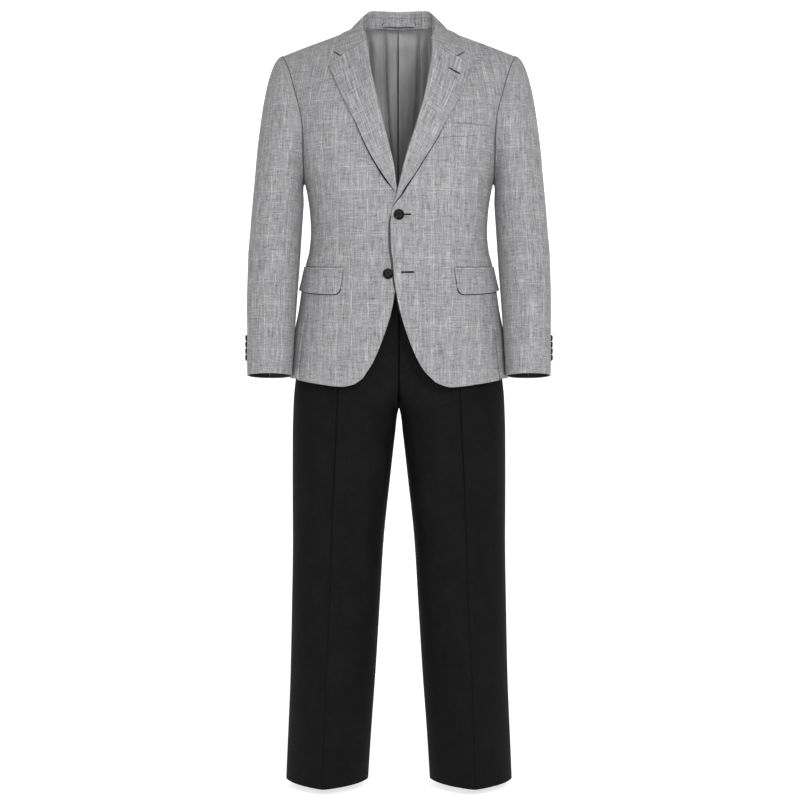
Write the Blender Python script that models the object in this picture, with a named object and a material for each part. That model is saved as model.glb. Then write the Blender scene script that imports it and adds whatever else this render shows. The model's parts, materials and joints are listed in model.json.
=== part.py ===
"""A two-piece suit, filled out with no wearer: a two-button jacket over straight trousers.

Metres, +Z up. The front faces -Y and the wearer's left is +X. The origin is between the
shoulders, at the root of the neck. Each piece of cloth is a wall of its own thickness, worked
out from tables of real sizes that are read between their rows on smooth curves.
"""

import math

import bpy
import numpy as np

CLOTH = 0.0020  # jacket cloth with its canvas
TROUSER_CLOTH = 0.0016
LINING = 0.0010
SEAM = 0.0003  # gap between neighbouring pieces
LAY = 0.0004  # gap under a piece that lies on another

# Torso of the jacket
RIDGE_Y = 0.008  # the shoulder seams' plane
RIDGE_NECK = 0.055  # height of the shoulder line, run on to the middle
RIDGE_FALL = 0.376  # slope of the shoulder line
SHOULDER_ROUND = 0.020  # rounds the line's peak at the middle
CHEST_DROP = 0.200  # from the shoulder line down to the full chest
SHOULDER_ARCH = 1.8  # roundness of the shoulder, front to back
SECTION = 2.35  # roundness of a level section, 2 is an ellipse
HEM = -0.657  # side and back
ARMPIT = -0.278
FRONT_SEAM_TOP = -0.215  # where the side seams meet the armhole
BACK_SEAM_TOP = -0.200
FRONT_SEAM_HEM = math.radians(64)
BACK_SEAM_HEM = math.radians(118)

# Rows and columns of the walls
YOKE_ROWS = 8
BODY_ROWS = 11
FRONT_COLUMNS = 8
BACK_COLUMNS = 7
SIDE_COLUMNS = 6
CAP_ROWS = 5
ARM_ROWS = 8

# Neck
NECK_WIDTH = 0.0745  # half
NECK_BACK = 0.038
NECK_SIDE = 0.027

# Trousers
WAIST_TOP = -0.425
BAND_HEIGHT = 0.040
BAND_CLOTH = 0.0024
CROTCH = -0.718
TROUSER_HEM = -1.437
LEG_ROWS = 18
LEG_COLUMNS = 9
LEG_SECTION = 2.3
LEG_PRESSED = 0.75
CREASE = 0.005  # how far a pressed crease stands out
CREASE_REACH = 0.030


class Table:
    """Rows of sizes under named columns, read between its rows on a smooth curve."""

    def __init__(self, columns, rows):
        data = np.array(sorted(rows), float)
        self.names = columns.split()[1:]
        self.key = data[:, 0]
        self.value = data[:, 1:]
        self.slope = self.rounded_slopes()

    def rounded_slopes(self):
        step = np.diff(self.key)[:, None]
        rise = np.diff(self.value, axis=0) / step
        slope = np.zeros_like(self.value)
        slope[0], slope[-1] = rise[0], rise[-1]
        before, after = rise[:-1], rise[1:]
        long_before = 2 * step[1:] + step[:-1]
        long_after = step[1:] + 2 * step[:-1]
        same_way = before * after > 0
        safe_before = np.where(same_way, before, 1)
        safe_after = np.where(same_way, after, 1)
        mean = (long_before + long_after) / (long_before / safe_before + long_after / safe_after)
        slope[1:-1] = np.where(same_way, mean, 0)
        return slope

    def at(self, key, name):
        column = self.names.index(name)
        key = np.clip(np.asarray(key, float), self.key[0], self.key[-1])
        row = np.clip(np.searchsorted(self.key, key) - 1, 0, len(self.key) - 2)
        step = self.key[row + 1] - self.key[row]
        u = (key - self.key[row]) / step
        low, high = self.value[row, column], self.value[row + 1, column]
        low_slope, high_slope = self.slope[row, column] * step, self.slope[row + 1, column] * step
        return (
            low * (2 * u**3 - 3 * u**2 + 1)
            + low_slope * (u**3 - 2 * u**2 + u)
            + high * (3 * u**2 - 2 * u**3)
            + high_slope * (u**3 - u**2)
        )


# Level sections: half widths of the front and back halves, and depths from the ridge plane
TORSO = Table(
    "height front_width back_width front_depth back_depth",
    [
        (-0.700, 0.2150, 0.2150, 0.130, 0.122),
        (-0.657, 0.2103, 0.2103, 0.130, 0.120),
        (-0.600, 0.2045, 0.2045, 0.129, 0.116),
        (-0.559, 0.1998, 0.1998, 0.127, 0.112),
        (-0.521, 0.1945, 0.1945, 0.126, 0.107),
        (-0.480, 0.1885, 0.1885, 0.124, 0.101),
        (-0.434, 0.1810, 0.1810, 0.122, 0.093),
        (-0.410, 0.1753, 0.1753, 0.121, 0.090),
        (-0.370, 0.1720, 0.1720, 0.120, 0.088),
        (-0.330, 0.1738, 0.1738, 0.121, 0.092),
        (-0.300, 0.1788, 0.1788, 0.124, 0.099),
        (-0.278, 0.1840, 0.1840, 0.126, 0.104),
        (-0.250, 0.1900, 0.1990, 0.128, 0.109),
        (-0.220, 0.1957, 0.2110, 0.129, 0.112),
        (-0.180, 0.2036, 0.2195, 0.129, 0.115),
        (-0.114, 0.2217, 0.2300, 0.128, 0.116),
        (-0.077, 0.2320, 0.2380, 0.127, 0.115),
        (-0.050, 0.2440, 0.2450, 0.126, 0.113),
        (-0.030, 0.2560, 0.2560, 0.125, 0.111),
        (0.060, 0.3000, 0.3000, 0.120, 0.108),
    ],
)

# Armhole seam, seen from the front and from the back
ARMHOLE = Table(
    "height front back",
    [
        (-0.2780, 0.1840, 0.1840),
        (-0.2500, 0.1838, 0.1890),
        (-0.2210, 0.1838, 0.1940),
        (-0.1785, 0.1850, 0.2000),
        (-0.1490, 0.1890, 0.2040),
        (-0.1140, 0.1980, 0.2090),
        (-0.0770, 0.2080, 0.2140),
        (-0.0500, 0.2170, 0.2190),
        (-0.0304, 0.2270, 0.2270),
    ],
)

# Front edges, as distances to the wearer's left of the middle: the roll line of the lapel,
# the buttoned edge, and the cutaway. The wearer's left front lies over the right one.
LEFT_EDGE = Table(
    "height x",
    [
        (0.0275, 0.0735),
        (0.0180, 0.0700),
        (0.0000, 0.0665),
        (-0.0160, 0.0655),
        (-0.0414, 0.0645),
        (-0.0865, 0.0581),
        (-0.1383, 0.0480),
        (-0.1870, 0.0334),
        (-0.2314, 0.0191),
        (-0.2754, 0.0071),
        (-0.3083, -0.0030),
        (-0.3362, -0.0112),
        (-0.3690, -0.0157),
        (-0.4060, -0.0150),
        (-0.4420, -0.0107),
        (-0.4735, -0.0084),
        (-0.4940, -0.0056),
        (-0.5250, 0.0000),
        (-0.5577, 0.0094),
        (-0.6101, 0.0286),
        (-0.6438, 0.0465),
        (-0.6660, 0.0680),
    ],
)
RIGHT_EDGE = Table(
    "height x",
    [
        (0.0275, -0.0735),
        (0.0180, -0.0700),
        (0.0000, -0.0655),
        (-0.0201, -0.0628),
        (-0.0746, -0.0559),
        (-0.1223, -0.0459),
        (-0.1736, -0.0337),
        (-0.2216, -0.0216),
        (-0.2706, -0.0096),
        (-0.3016, -0.0039),
        (-0.3300, 0.0060),
        (-0.3600, 0.0110),
        (-0.4300, 0.0110),
        (-0.4600, 0.0060),
        (-0.4935, -0.0066),
        (-0.5334, -0.0144),
        (-0.5727, -0.0264),
        (-0.6289, -0.0490),
        (-0.6600, -0.0690),
    ],
)
LEFT_HEM = Table(
    "x height",
    [
        (0.0680, -0.6660),
        (0.0800, -0.6715),
        (0.0970, -0.6755),
        (0.1600, -0.6680),
        (0.1950, -0.6610),
        (0.2100, -0.6570),
    ],
)
RIGHT_HEM = Table(
    "x height",
    [
        (0.0690, -0.6600),
        (0.0860, -0.6705),
        (0.1070, -0.6745),
        (0.1600, -0.6680),
        (0.1950, -0.6610),
        (0.2100, -0.6570),
    ],
)
OVERLAP = 0.0027  # the left front is lifted by this much over the right one
OVERLAP_END = 0.014
OVERLAP_EASE = 0.026

# Outer edges of the lapels, tip first
LEFT_LAPEL = Table(
    "height x",
    [
        (-0.0647, 0.1376),
        (-0.1031, 0.1228),
        (-0.1325, 0.1108),
        (-0.1730, 0.0888),
        (-0.2078, 0.0712),
        (-0.2415, 0.0502),
        (-0.2752, 0.0287),
        (-0.3040, 0.0094),
        (-0.3350, -0.0106),
    ],
)
RIGHT_LAPEL = Table(
    "height x",
    [
        (-0.0609, -0.1342),
        (-0.1264, -0.1058),
        (-0.1761, -0.0816),
        (-0.2300, -0.0573),
        (-0.2707, -0.0335),
        (-0.3090, -0.0066),
    ],
)
LAPEL_CLOTH = 0.0022
LAPEL_ROLL = 0.0035  # how far the fold stands off the chest

# Half of the collar, from the middle of the back to the gorge
COLLAR_FOLD = [
    (0.000, 0.0600, 0.0722),
    (0.030, 0.0580, 0.0722),
    (0.056, 0.0440, 0.0705),
    (0.0675, 0.0180, 0.0590),
    (0.0690, -0.0060, 0.0400),
    (0.0675, -0.0300, 0.0150),
    (0.0640, -0.0600, -0.0120),
]
COLLAR_EDGE = [
    (0.000, 0.0690, 0.0230),
    (0.038, 0.0660, 0.0190),
    (0.075, 0.0500, 0.0100),
    (0.103, 0.0200, 0.0100),
    (0.111, -0.0100, 0.0060),
    (0.117, -0.0450, -0.0120),
    (0.124, -0.0740, -0.0330),
]
NOTCH = np.array([0.1095, -0.0440])  # x and height of its corner
GORGE = np.array([0.0640, -0.0120])
NOTCH_GAP = 0.0006
COLLAR_CLOTH = 0.0022
COLLAR_CLEAR = 0.0029
COLLAR_BELLY = 0.0048  # how far the fall is rounded out between its fold and edge
COLLAR_ROWS = 5
COLLAR_COLUMNS = 36
STAND_END = 0.86  # the stand stops short of the gorge, as a share of the half collar
STAND_SHORTER = 0.10  # at the sides of the neck

# Arm, from the armpit's level to the cuff
ARM = Table(
    "height outer inner front back side_tilt lean",
    [
        (-0.310, 0.2838, 0.1862, -0.080, 0.076, 0.22, 0.04),
        (-0.388, 0.2902, 0.1906, -0.083, 0.066, 0.12, 0.08),
        (-0.432, 0.2932, 0.1928, -0.088, 0.057, 0.06, 0.11),
        (-0.497, 0.2945, 0.1968, -0.095, 0.043, 0.02, 0.13),
        (-0.553, 0.2930, 0.2000, -0.101, 0.029, 0.00, 0.12),
        (-0.605, 0.2918, 0.2030, -0.104, 0.016, 0.00, 0.10),
        (-0.653, 0.2910, 0.2055, -0.105, 0.003, 0.00, 0.08),
    ],
)
TOP_SEAM_FRONT = math.radians(118)  # the top sleeve's seams, round from the shoulder
TOP_SEAM_BACK = math.radians(-82)
CAP_START = 0.40  # how far the cap's cloth heads outwards, as a share of its length
CAP_END = 0.90

# Small pieces
FLAP = {
    "inner": 0.1050,
    "outer": math.radians(86),
    "width": 0.105,
    "top": -0.4545,
    "rise": 0.0033,
    "fall": 0.046,
    "lean": 0.012,
}
FLAP_CORNER = 0.009
FLAP_LIFT = 0.0016
JET_HEIGHT = 0.0045
JET_CLOTH = 0.0013
WELT = {
    "low_inner": (0.0743, -0.2073),
    "low_outer": (0.1620, -0.1965),
    "high_inner": (0.0868, -0.1800),
    "high_outer": (0.1705, -0.1783),
}
BUTTON = {"radius": 0.0101, "thickness": 0.0036}
BUTTON_TOP = (0.000, -0.3515)
BUTTON_LOW = (-0.0205, -0.4632)
CUFF_BUTTON = {"radius": 0.0061, "thickness": 0.0030}
CUFF_BUTTON_FIRST = -0.5800
CUFF_BUTTON_PITCH = 0.0127
CUFF_BUTTON_ANGLE = math.radians(-5)
LOOP = {
    "width": 0.062,
    "height": 0.0095,
    "thickness": 0.0012,
    "stand_off": 0.0020,
    "low": 0.76,  # how far down the stand, as a share of its height
}

LINING_SEAT = 0.0030  # under the back's outer face, where it is sewn in
LINING_IN = 0.0075
LINING_HEM = -0.590
LINING_WIDTH = 0.165  # half
LINING_ROWS = 8
LINING_COLUMNS = 24

# Legs: the inner column runs past the middle above the crotch, which curves the fork
LEG = Table(
    "height outer inner crease front back",
    [
        (-0.425, 0.158, -0.158, 0.088, 0.092, 0.078),
        (-0.490, 0.170, -0.170, 0.095, 0.095, 0.084),
        (-0.550, 0.182, -0.182, 0.103, 0.096, 0.092),
        (-0.600, 0.191, -0.172, 0.109, 0.094, 0.098),
        (-0.656, 0.2010, -0.090, 0.114, 0.092, 0.102),
        (-0.695, 0.2050, -0.028, 0.116, 0.094, 0.105),
        (-0.718, 0.206, 0.0010, 0.117, 0.095, 0.106),
        (-0.765, 0.2072, 0.0074, 0.119, 0.095, 0.105),
        (-0.848, 0.2075, 0.0168, 0.123, 0.092, 0.100),
        (-0.973, 0.2070, 0.0300, 0.128, 0.087, 0.090),
        (-1.102, 0.2090, 0.0378, 0.132, 0.084, 0.084),
        (-1.231, 0.2118, 0.0458, 0.1385, 0.082, 0.082),
        (-1.362, 0.2172, 0.0553, 0.143, 0.082, 0.082),
        (-1.437, 0.2203, 0.0600, 0.146, 0.083, 0.083),
    ],
)

FINISHES = {
    "jacket": ((0.37, 0.37, 0.38, 1), 0.85),
    "lining": ((0.20, 0.20, 0.21, 1), 0.45),
    "trousers": ((0.012, 0.012, 0.014, 1), 0.80),
    "button": ((0.008, 0.008, 0.009, 1), 0.25),
}


# Scene and materials


def clear_scene():
    for old in list(bpy.data.objects):
        bpy.data.objects.remove(old, do_unlink=True)


def finish(name):
    """The material of that name, made once."""
    material = bpy.data.materials.get(name)
    if material is None:
        colour, roughness = FINISHES[name]
        material = bpy.data.materials.new(name)
        material.use_nodes = True
        shader = material.node_tree.nodes["Principled BSDF"]
        shader.inputs["Base Color"].default_value = colour
        shader.inputs["Roughness"].default_value = roughness
    return material


def add_object(name, points, faces, material):
    mesh = bpy.data.meshes.new(name)
    mesh.from_pydata([tuple(point) for point in points], [], faces)
    mesh.materials.append(finish(material))
    mesh.shade_smooth()
    piece = bpy.data.objects.new(name, mesh)
    bpy.context.scene.collection.objects.link(piece)
    return piece


# Curves and grids


def ease(value):
    value = np.clip(value, 0, 1)
    return value * value * (3 - 2 * value)


def mix(first, last, count, power=1.0):
    """count + 1 numbers from first to last, closer together at first where power is over 1."""
    return first + (last - first) * np.linspace(0, 1, count + 1) ** power


def straight(first, last, count):
    """count + 1 points evenly spaced from first to last."""
    return first + (last - first) * np.linspace(0, 1, count + 1)[:, None]


def smooth_path(points, count):
    """count + 1 points spaced evenly along a smooth curve through some points."""
    points = np.array(points, float)
    length = np.concatenate([[0], np.cumsum(np.linalg.norm(np.diff(points, axis=0), axis=1))])
    names = " ".join(f"c{axis}" for axis in range(points.shape[1]))
    curve = Table("s " + names, [(s, *point) for s, point in zip(length, points)])
    fine = mix(0, length[-1], count * 12)
    dense = np.stack([curve.at(fine, name) for name in curve.names], 1)
    run = np.concatenate([[0], np.cumsum(np.linalg.norm(np.diff(dense, axis=0), axis=1))])
    wanted = mix(0, run[-1], count)
    return np.stack([np.interp(wanted, run, dense[:, axis]) for axis in range(points.shape[1])], 1)


def patch(top, bottom, left, right):
    """A grid of points between four edges that meet at their ends, as a Coons patch."""
    rows, columns = len(left), len(top)
    v = np.linspace(0, 1, rows)[:, None, None]
    u = np.linspace(0, 1, columns)[None, :, None]
    across = (1 - u) * left[:, None] + u * right[:, None]
    down = (1 - v) * top[None] + v * bottom[None]
    corners = (1 - v) * ((1 - u) * top[0] + u * top[-1]) + v * ((1 - u) * bottom[0] + u * bottom[-1])
    return across + down - corners


def grid_normals(grid, axis):
    """Unit normals of a grid, facing away from a point or a row of points on its axis."""
    down = np.gradient(grid, axis=0)
    along = np.gradient(grid, axis=1)
    normal = np.cross(down, along)
    size = np.linalg.norm(normal, axis=2, keepdims=True)
    normal = normal / np.maximum(size, 1e-12)
    away = np.sum(normal * (grid - axis))
    return normal if away > 0 else -normal


def in_plane(normal, part, axis):
    """Turns the normals of an edge so that they lie in the plane of its seam."""
    normal[part + (axis,)] = 0
    size = np.linalg.norm(normal[part], axis=-1, keepdims=True)
    normal[part] = normal[part] / np.maximum(size, 1e-12)


def wall(name, outer, thickness, material, normal, lift=0.0):
    """A closed wall of cloth whose outer face is a grid, moved out by lift."""
    outer = outer + normal * lift
    inner = outer - normal * thickness
    rows, columns = outer.shape[:2]
    points = np.concatenate([outer.reshape(-1, 3), inner.reshape(-1, 3)])
    half = rows * columns
    middle = rows // 2, columns // 2
    down = outer[middle[0], middle[1]] - outer[middle[0] - 1, middle[1]]
    along = outer[middle[0], middle[1]] - outer[middle[0], middle[1] - 1]
    out_first = np.dot(np.cross(down, along), normal[middle]) > 0
    faces = []
    for r in range(rows - 1):
        for c in range(columns - 1):
            a, b = r * columns + c, r * columns + c + 1
            d, e = a + columns, b + columns
            faces.append((a, d, e, b))
            faces.append((a + half, b + half, e + half, d + half))
    border = [c for c in range(columns)]
    border += [r * columns + columns - 1 for r in range(1, rows)]
    border += [(rows - 1) * columns + c for c in range(columns - 2, -1, -1)]
    border += [r * columns for r in range(rows - 2, 0, -1)]
    for a, b in zip(border, border[1:] + border[:1]):
        faces.append((a, b, b + half, a + half))
    if not out_first:
        faces = [tuple(reversed(face)) for face in faces]
    return add_object(name, points, faces, material)


def mirrored(grid):
    return grid * np.array([-1.0, 1.0, 1.0])


def trimmed(grid, top=0.0, bottom=0.0, left=0.0, right=0.0):
    """The grid with its edges drawn in by small distances, to leave the seams' gaps."""
    grid = grid.copy()
    edges = [
        (grid[0], grid[1], top),
        (grid[-1], grid[-2], bottom),
        (grid[:, 0], grid[:, 1], left),
        (grid[:, -1], grid[:, -2], right),
    ]
    for edge, inside, gap in edges:
        if gap:
            step = inside - edge
            size = np.linalg.norm(step, axis=1, keepdims=True)
            edge += step / np.maximum(size, 1e-9) * gap
    return grid


# The torso's surface


def shoulder_height(x):
    return RIDGE_NECK - RIDGE_FALL * (np.sqrt(x * x + SHOULDER_ROUND**2) - SHOULDER_ROUND / 2)


def signed_power(value, power):
    return np.sign(value) * np.abs(value) ** power


def torso(angle, height):
    """A point of the jacket's outer face. The angle runs from the front middle round to +X."""
    angle, height = np.broadcast_arrays(np.asarray(angle, float), np.asarray(height, float))
    side, ahead = np.sin(angle), np.cos(angle)
    in_front = ahead >= 0
    width = np.where(in_front, TORSO.at(height, "front_width"), TORSO.at(height, "back_width"))
    depth = np.where(in_front, TORSO.at(height, "front_depth"), TORSO.at(height, "back_depth"))
    x = width * signed_power(side, 2 / SECTION)
    down = np.clip((shoulder_height(x) - height) / CHEST_DROP, 0, 1)
    arch = (1 - (1 - down) ** SHOULDER_ARCH) ** (1 / SHOULDER_ARCH)
    y = RIDGE_Y - depth * signed_power(ahead, 2 / SECTION) * arch
    return np.stack([x, y, height], -1)


def front_angle(x, height):
    share = np.clip(np.abs(x) / TORSO.at(height, "front_width"), 0, 1)
    return np.sign(x) * np.arcsin(share ** (SECTION / 2))


def back_angle(x, height):
    share = np.clip(np.abs(x) / TORSO.at(height, "back_width"), 0, 1)
    return math.pi - np.arcsin(share ** (SECTION / 2))


def torso_normals(angle, height):
    """Unit normals of the jacket's outer face, alike on both sides of a seam."""
    turn, rise = 0.02, 0.002
    along = torso(angle + turn, height) - torso(angle - turn, height)
    down = torso(angle, height - rise) - torso(angle, height + rise)
    normal = np.cross(down, along)
    return normal / np.linalg.norm(normal, axis=-1, keepdims=True)


def torso_axis(grid):
    axis = grid.copy()
    axis[..., 0] *= 0.3
    axis[..., 1] = RIDGE_Y
    axis[..., 2] = np.minimum(axis[..., 2], -0.10)
    return axis


def off_torso(grid):
    return grid_normals(grid, torso_axis(grid))


def overlap_lift(x):
    """How far the left front stands over the right one, at x."""
    return OVERLAP * (1 - ease((x - OVERLAP_END) / OVERLAP_EASE))


def rest_on_shoulder(points, gap):
    """Points moved out, where needed, to lie at least a gap off the shoulder."""
    x, y, z = points[..., 0], points[..., 1], points[..., 2]
    centre = shoulder_height(x) - CHEST_DROP
    height = np.clip(z, -0.70, 0.06)
    front = y < RIDGE_Y
    width = np.where(front, TORSO.at(height, "front_width"), TORSO.at(height, "back_width"))
    depth = np.where(front, TORSO.at(height, "front_depth"), TORSO.at(height, "back_depth"))
    share = np.clip(np.abs(x) / width, 0, 0.999)
    reach = depth * (1 - share**SECTION) ** (1 / SECTION)
    up = np.maximum(z - centre, 0) / CHEST_DROP
    ahead = np.abs(y - RIDGE_Y) / reach
    size = (up**SHOULDER_ARCH + ahead**SHOULDER_ARCH) ** (1 / SHOULDER_ARCH)
    arm = np.stack([y - RIDGE_Y, np.maximum(z - centre, 1e-6)], -1)
    radius = np.linalg.norm(arm, axis=-1)
    wanted = radius / np.maximum(size, 1e-6) + gap
    scale = np.maximum(wanted / radius, 1)
    moved = points.copy()
    moved[..., 1] = RIDGE_Y + arm[..., 0] * scale
    moved[..., 2] = centre + arm[..., 1] * scale
    return moved


# Edges that the panels share


def seam_levels(top):
    return mix(top, HEM, BODY_ROWS)


def front_seam():
    """The seam between front and side panel, from the armhole to the hem."""
    levels = seam_levels(FRONT_SEAM_TOP)
    start = front_angle(ARMHOLE.at(FRONT_SEAM_TOP, "front"), FRONT_SEAM_TOP)
    return np.stack([mix(start, FRONT_SEAM_HEM, BODY_ROWS), levels], 1)


def back_seam():
    levels = seam_levels(BACK_SEAM_TOP)
    start = back_angle(ARMHOLE.at(BACK_SEAM_TOP, "back"), BACK_SEAM_TOP)
    return np.stack([mix(start, BACK_SEAM_HEM, BODY_ROWS), levels], 1)


def armhole_front():
    """The armhole on the front panel, from the shoulder down."""
    levels = mix(shoulder_height(0.227), FRONT_SEAM_TOP, YOKE_ROWS, 1.6)
    return np.stack([front_angle(ARMHOLE.at(levels, "front"), levels), levels], 1)


def armhole_back():
    levels = mix(shoulder_height(0.227), BACK_SEAM_TOP, YOKE_ROWS, 1.6)
    return np.stack([back_angle(ARMHOLE.at(levels, "back"), levels), levels], 1)


def armhole_under():
    """The foot of the armhole on the side panel, from front to back."""
    half = SIDE_COLUMNS // 2
    front_levels = ARMPIT + (FRONT_SEAM_TOP - ARMPIT) * mix(1, 0, half) ** 2
    back_levels = ARMPIT + (BACK_SEAM_TOP - ARMPIT) * mix(0, 1, half) ** 2
    front = np.stack([front_angle(ARMHOLE.at(front_levels, "front"), front_levels), front_levels], 1)
    back = np.stack([back_angle(ARMHOLE.at(back_levels, "back"), back_levels), back_levels], 1)
    front[-1, 0] = math.pi / 2
    return np.concatenate([front, back[1:]])


def as_front_places(x, height):
    return np.stack([front_angle(x, height), height], -1)


# Jacket panels


def front_grid(edge, hem, sign):
    """One front, on its own side, from its edge and cutaway to the armhole and side seam."""
    corner = edge.key[0]
    inner_levels = np.concatenate(
        [mix(edge.key[-1], FRONT_SEAM_TOP, YOKE_ROWS, 1.6), mix(FRONT_SEAM_TOP, corner, BODY_ROWS)[1:]]
    )
    inner = as_front_places(sign * edge.at(inner_levels, "x"), inner_levels)
    outer = np.concatenate([armhole_front(), front_seam()[1:]])
    top_x = mix(sign * edge.value[-1, 0], 0.227, FRONT_COLUMNS)
    top = as_front_places(top_x, shoulder_height(top_x))
    hem_x = mix(sign * edge.value[0, 0], torso(*outer[-1])[0], FRONT_COLUMNS)
    bottom = as_front_places(hem_x, hem.at(hem_x, "height"))
    inner[0], inner[-1] = top[0], bottom[0]
    outer[0] = top[-1]
    outer[-1] = bottom[-1]
    return on_torso(patch(top, bottom, inner, outer))


def on_torso(places):
    """Points and normals at places given by angle and height."""
    points = torso(places[..., 0], places[..., 1])
    normal = torso_normals(places[..., 0], places[..., 1])
    return points, normal


def make_fronts():
    left, left_normal = front_grid(LEFT_EDGE, LEFT_HEM, 1)
    left = left - np.array([0, 1, 0]) * overlap_lift(left[..., 0:1])
    right, right_normal = front_grid(RIGHT_EDGE, RIGHT_HEM, -1)
    right, right_normal = mirrored(right), mirrored(right_normal)
    for name, grid, normal in (
        ("jacket_front_left", left, left_normal),
        ("jacket_front_right", right, right_normal),
    ):
        in_plane(normal, (0, slice(None)), 1)
        wall(name, trimmed(grid, top=SEAM / 2, right=SEAM), CLOTH, "jacket", normal)


def side_grid():
    left, right = front_seam(), back_seam()
    top = armhole_under()
    bottom = np.stack([mix(left[-1, 0], right[-1, 0], SIDE_COLUMNS), np.full(SIDE_COLUMNS + 1, HEM)], 1)
    bottom[0, 1] = LEFT_HEM.at(torso(*left[-1])[0], "height")
    left = left.copy()
    left[-1] = bottom[0]
    left[0], right[0] = top[0], top[-1]
    return on_torso(patch(top, bottom, left, right))


def make_pair(name, grid, thickness, material, normal, lift=0.0):
    """A wall on the wearer's left and its mirror image on the right."""
    wall(name + "_left", grid, thickness, material, normal, lift)
    wall(name + "_right", mirrored(grid), thickness, material, mirrored(normal), lift)


def make_sides():
    grid, normal = side_grid()
    make_pair("jacket_side", trimmed(grid, left=SEAM / 2, right=SEAM / 2), CLOTH, "jacket", normal)


def back_neck(x):
    return NECK_BACK - (NECK_BACK - NECK_SIDE) * (x / NECK_WIDTH) ** 2


def back_grid():
    """The left back, from the armhole and side seam to the middle seam."""
    outer = np.concatenate([armhole_back(), back_seam()[1:]])
    neck_columns = BACK_COLUMNS // 2
    seam_x = mix(0.227, NECK_WIDTH, BACK_COLUMNS - neck_columns)
    seam = np.stack([back_angle(seam_x, shoulder_height(seam_x)), shoulder_height(seam_x)], 1)
    neck_x = mix(NECK_WIDTH, 0, neck_columns)[1:]
    neck = np.stack([back_angle(neck_x, back_neck(neck_x)), back_neck(neck_x)], 1)
    top = np.concatenate([seam, neck])
    bottom = np.stack([mix(outer[-1, 0], math.pi, BACK_COLUMNS), np.full(BACK_COLUMNS + 1, HEM)], 1)
    levels = np.concatenate(
        [mix(NECK_BACK, BACK_SEAM_TOP, YOKE_ROWS, 1.6), mix(BACK_SEAM_TOP, HEM, BODY_ROWS)[1:]]
    )
    middle = np.stack([np.full(len(levels), math.pi), levels], 1)
    outer[0] = top[0]
    return on_torso(patch(top, bottom, outer, middle))


def make_backs():
    grid, normal = back_grid()
    shoulder = BACK_COLUMNS - BACK_COLUMNS // 2
    in_plane(normal, (0, slice(0, shoulder + 1)), 1)
    in_plane(normal, (slice(None), -1), 0)
    grid = trimmed(grid, top=SEAM / 2, left=SEAM, right=SEAM / 2)
    make_pair("jacket_back", grid, CLOTH, "jacket", normal)


# Sleeves


def armhole_ring():
    """The armhole's points from the shoulder tip, down the front and up the back."""
    under = armhole_under()
    places = np.concatenate([armhole_front()[:-1], under, armhole_back()[::-1][1:]])
    return torso(places[:, 0], places[:, 1])


def ring_angles(ring):
    """Angles round the arm that go with the ring's points: half a turn to the armpit."""
    run = np.concatenate([[0], np.cumsum(np.linalg.norm(np.diff(ring, axis=0), axis=1))])
    foot = YOKE_ROWS + SIDE_COLUMNS // 2
    down = run[: foot + 1] / run[foot] * math.pi
    up = math.pi + (run[foot + 1 :] - run[foot]) / (run[-1] - run[foot]) * math.pi
    return np.concatenate([down, up])


def arm_ring(height, angles):
    """A ring of the sleeve: the angle runs from the outside, through the front."""
    outer, inner = ARM.at(height, "outer"), ARM.at(height, "inner")
    front, back = ARM.at(height, "front"), ARM.at(height, "back")
    across = (outer - inner) / 2 * np.cos(angles)
    ahead = (front - back) / 2 * np.sin(angles)
    tilt = ARM.at(height, "side_tilt") * across - ARM.at(height, "lean") * ahead
    return np.stack([(outer + inner) / 2 + across, (front + back) / 2 + ahead, height + tilt], 1)


def sleeve_grid():
    start = armhole_ring() + np.array([LAY, 0, 0])
    angles = ring_angles(start)
    top_of_arm, cuff = ARM.key[-1], ARM.key[0]
    end = arm_ring(top_of_arm, angles)
    reach = np.linalg.norm(end - start, axis=1, keepdims=True)
    leaving = np.stack([np.ones_like(angles), -0.45 * np.sin(angles), np.full_like(angles, -0.15)], 1)
    leaving /= np.linalg.norm(leaving, axis=1, keepdims=True)
    arriving = np.array([0.09, -0.06, -1.0])
    rows = []
    for u in mix(0, 1, CAP_ROWS, 1.25)[:-1]:
        rows.append(
            start * (2 * u**3 - 3 * u**2 + 1)
            + leaving * reach * CAP_START * (u**3 - 2 * u**2 + u)
            + end * (3 * u**2 - 2 * u**3)
            + arriving * reach * CAP_END * (u**3 - u**2)
        )
    rows += [arm_ring(height, angles) for height in mix(top_of_arm, cuff, ARM_ROWS)]
    return np.array(rows), angles


def make_sleeves():
    ring, angles = sleeve_grid()
    axis = ring.mean(axis=1, keepdims=True)
    round_arm = np.concatenate([ring[:, -2:-1], ring, ring[:, 1:2]], axis=1)
    normal = grid_normals(round_arm, axis)[:, 1:-1]
    front = int(np.argmin(np.abs(angles - TOP_SEAM_FRONT)))
    back = int(np.argmin(np.abs(angles - TOP_SEAM_BACK - 2 * math.pi)))
    under = np.arange(front, back + 1)
    top = np.concatenate([np.arange(back, len(angles) - 1), np.arange(0, front + 1)])
    for part, columns in (("top_sleeve", top), ("under_sleeve", under)):
        grid = trimmed(ring[:, columns], left=SEAM, right=SEAM)
        make_pair(part, grid, CLOTH, "jacket", normal[:, columns])


# Collar and lapels


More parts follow.
